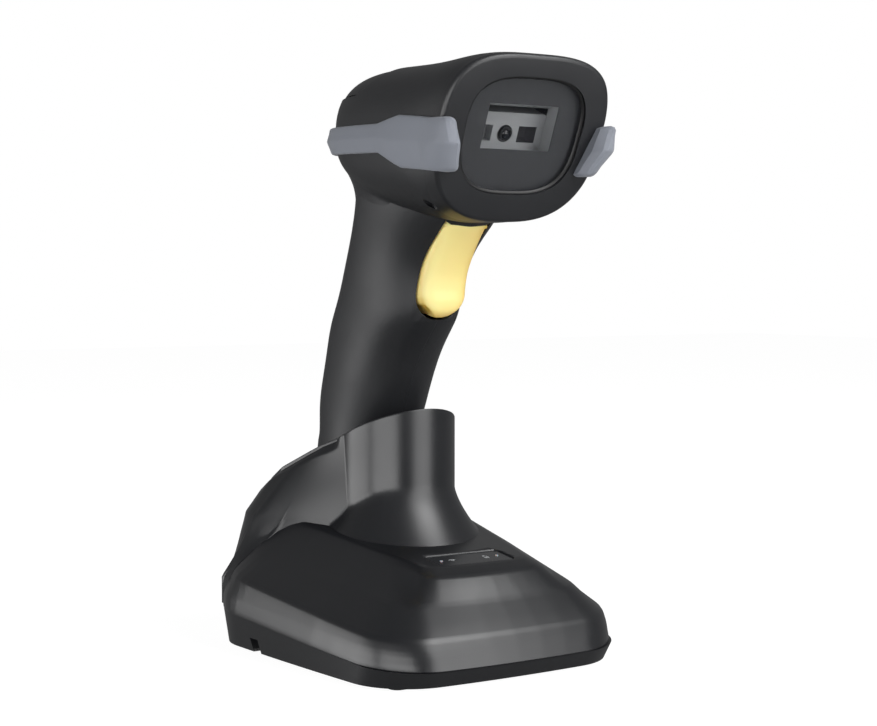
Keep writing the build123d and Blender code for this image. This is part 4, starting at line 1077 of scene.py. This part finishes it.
class BuildPanel(bpy.types.Operator):
    """Builds the indicator panel with its two lights and the signs beside them."""

    bl_idname = "scanner.build_panel"
    bl_label = "Indicator panel"

    def execute(self, context):
        plate = slab("indicator_plate", rounded_rectangle(29.9, 11.4, 1.6), -0.85, -0.35, "panel")
        attach(plate, "cradle", "gloss_black", "indicator_panel")
        dot = 0.55
        lights = [slab("light", [(x + dot * math.cos(turn), dot * math.sin(turn)) for turn in full_turn(24)],
                       -3.5, -0.1, "light") for x in (-11.2, 11.2)]
        attach(join(lights, "indicator_lights", "light"), "cradle", "led", "status_light_pipes")
        # a cell on end, as bars with their width, height and middle: its outline, its tip and its charge
        bars = ((0.25, 2.2, 6.0, 0.0), (0.25, 2.2, 7.4, 0.0), (1.6, 0.25, 6.7, 1.1), (1.6, 0.25, 6.7, -1.1),
                (0.7, 0.35, 6.7, 1.5), (0.8, 1.0, 6.7, -0.4))
        outlines = [rounded_rectangle(width, height, 0.1, x, y) for width, height, x, y in bars]
        # radio waves: arcs over a point
        arc = np.linspace(math.radians(45), math.radians(135), 12)
        for middle in (0.35, 1.0, 1.7):
            outer, inner = ([(-6.7 + radius * math.cos(turn), -0.8 + radius * math.sin(turn)) for turn in arc]
                            for radius in (middle + 0.15, middle - 0.15))
            outlines.append(outer + inner[::-1])
        signs = [slab("sign", outline, -0.4, -0.31, "icon") for outline in outlines]
        attach(join(signs, "indicator_signs", "icon"), "cradle", "led")
        return {"FINISHED"}


# ---------------------------------------------------------------- stage

class BuildStage(bpy.types.Operator):
    """Builds the floor, the soft lamps, the world and the camera."""

    bl_idname = "scanner.build_stage"
    bl_label = "Stage"

    def execute(self, context):
        scene = context.scene
        scene.view_settings.view_transform = "Standard"
        self.build_floor()
        self.build_world(scene)
        self.build_lamps()
        camera = bpy.data.cameras.new("Camera")
        camera.sensor_width, camera.lens = 36.0, 73.15
        camera.clip_start, camera.clip_end = 0.01, 50.0
        eye = linked("Camera", camera)
        eye.location = (-0.3346, -0.5139, 0.1302)
        eye.rotation_euler = (math.radians(90 - 2.798), 0.0, math.radians(-33.4555))
        scene.camera = eye
        return {"FINISHED"}

    def build_floor(self):
        """A plain pale floor that keeps a light shadow and shows white to the camera."""
        material, tree = fresh_material("Paper sweep, white")
        grain = put(tree, "ShaderNodeTexNoise", {"Scale": 40.0})
        tint = put(tree, "ShaderNodeMix", {0: grain, 6: linear("#f2f2f2"), 7: linear("#f6f6f6")},
                   data_type="RGBA")
        paper = put(tree, "ShaderNodeBsdfDiffuse", {"Color": tint.outputs[2]})
        white = put(tree, "ShaderNodeEmission", {"Color": (1.0, 1.0, 1.0, 1.0), "Strength": 1.2})
        seen = put(tree, "ShaderNodeLightPath")
        share = put(tree, "ShaderNodeMath", {0: seen.outputs["Is Camera Ray"], 1: 0.8}, operation="MULTIPLY")
        mixed = put(tree, "ShaderNodeMixShader", {0: share, 1: paper, 2: white})
        # the lamps reach down past the floor in the object's reflections
        gone = put(tree, "ShaderNodeBsdfTransparent")
        final = put(tree, "ShaderNodeMixShader", {0: seen.outputs["Is Glossy Ray"], 1: mixed, 2: gone})
        materials["paper"] = surface(material, tree, final)
        half = 2500
        corners = [(-half, -half, 0), (half, -half, 0), (half, half, 0), (-half, half, 0)]
        mesh_piece("floor", corners, [(0, 1, 2, 3)], "paper")

    def build_world(self, scene):
        """A white room: plain fill on the object, white behind it."""
        world = bpy.data.worlds.new("Studio")
        world.use_nodes = True
        tree = world.node_tree
        tree.nodes.clear()
        seen = put(tree, "ShaderNodeLightPath")
        through = put(tree, "ShaderNodeMath", {
            0: seen.outputs["Is Camera Ray"], 1: seen.outputs["Is Transmission Ray"]}, operation="MAXIMUM")
        shiny = put(tree, "ShaderNodeMath", {0: seen.outputs["Is Glossy Ray"], 1: 0.1}, operation="MULTIPLY")
        base = put(tree, "ShaderNodeMath", {0: shiny, 1: 0.14}, operation="ADD")
        strength = put(tree, "ShaderNodeMath", {0: base, 1: through}, operation="MAXIMUM")
        light = put(tree, "ShaderNodeBackground", {"Color": (1.0, 1.0, 1.0, 1.0), "Strength": strength})
        put(tree, "ShaderNodeOutputWorld", {"Surface": light})
        scene.world = world

    def build_lamps(self):
        """Softboxes: a wide one on the left of the camera, a tall one on the right and one overhead."""
        target = Vector((0.0, 0.0, 0.1))
        lamps = (  # name, place, width, height, power
            ("Near left softbox", (-0.97, -0.72, -0.05), 1.15, 0.72, 12.0),
            ("Far left softbox", (-1.12, 0.42, -0.05), 1.1, 0.65, 10.0),
            ("Right softbox", (0.43, -1.12, 0.42), 0.85, 1.5, 16.0),
            ("Top softbox", (0.44, -0.66, 0.88), 0.6, 0.42, 4.5),
        )
        for name, place, width, height, power in lamps:
            lamp = bpy.data.lights.new(name, "AREA")
            lamp.shape, lamp.size, lamp.size_y, lamp.energy = "RECTANGLE", width, height, power
            piece = linked(name, lamp)
            piece.location = place
            piece.rotation_euler = (target - Vector(place)).to_track_quat("-Z", "Y").to_euler()


# ---------------------------------------------------------------- panel and start

operators = (BuildHousing, BuildWindow, BuildEngine, BuildBumper, BuildTrigger, BuildElectronics, BuildScrews,
             BuildCradle, BuildTray, BuildPanel, BuildStage)


class ScannerPanel(bpy.types.Panel):
    """Lists the sizes, the colours and the builders."""

    bl_idname = "VIEW3D_PT_scanner"
    bl_label = "Scanner"
    bl_space_type = "VIEW_3D"
    bl_region_type = "UI"
    bl_category = "Scanner"

    def draw(self, context):
        look = context.scene.scanner_look
        for field in look.bl_rna.properties.keys():
            if field not in ("rna_type", "name"):
                self.layout.prop(look, field)
        for operator in operators:
            self.layout.operator(operator.bl_idname)


classes = (ScannerLook, *operators, ScannerPanel)


def register():
    """Registers the classes and the scene's settings."""
    for item in classes:
        bpy.utils.register_class(item)
    bpy.types.Scene.scanner_look = bpy.props.PointerProperty(type=ScannerLook)


def unregister():
    """Takes the classes and the scene's settings away again."""
    del bpy.types.Scene.scanner_look
    for item in reversed(classes):
        bpy.utils.unregister_class(item)


def main():
    """Builds everything, in order."""
    register()
    make_materials(bpy.context.scene.scanner_look)
    for operator in operators:
        group, name = operator.bl_idname.split(".")
        getattr(getattr(bpy.ops, group), name)()


if __name__ == "__main__":
    main()
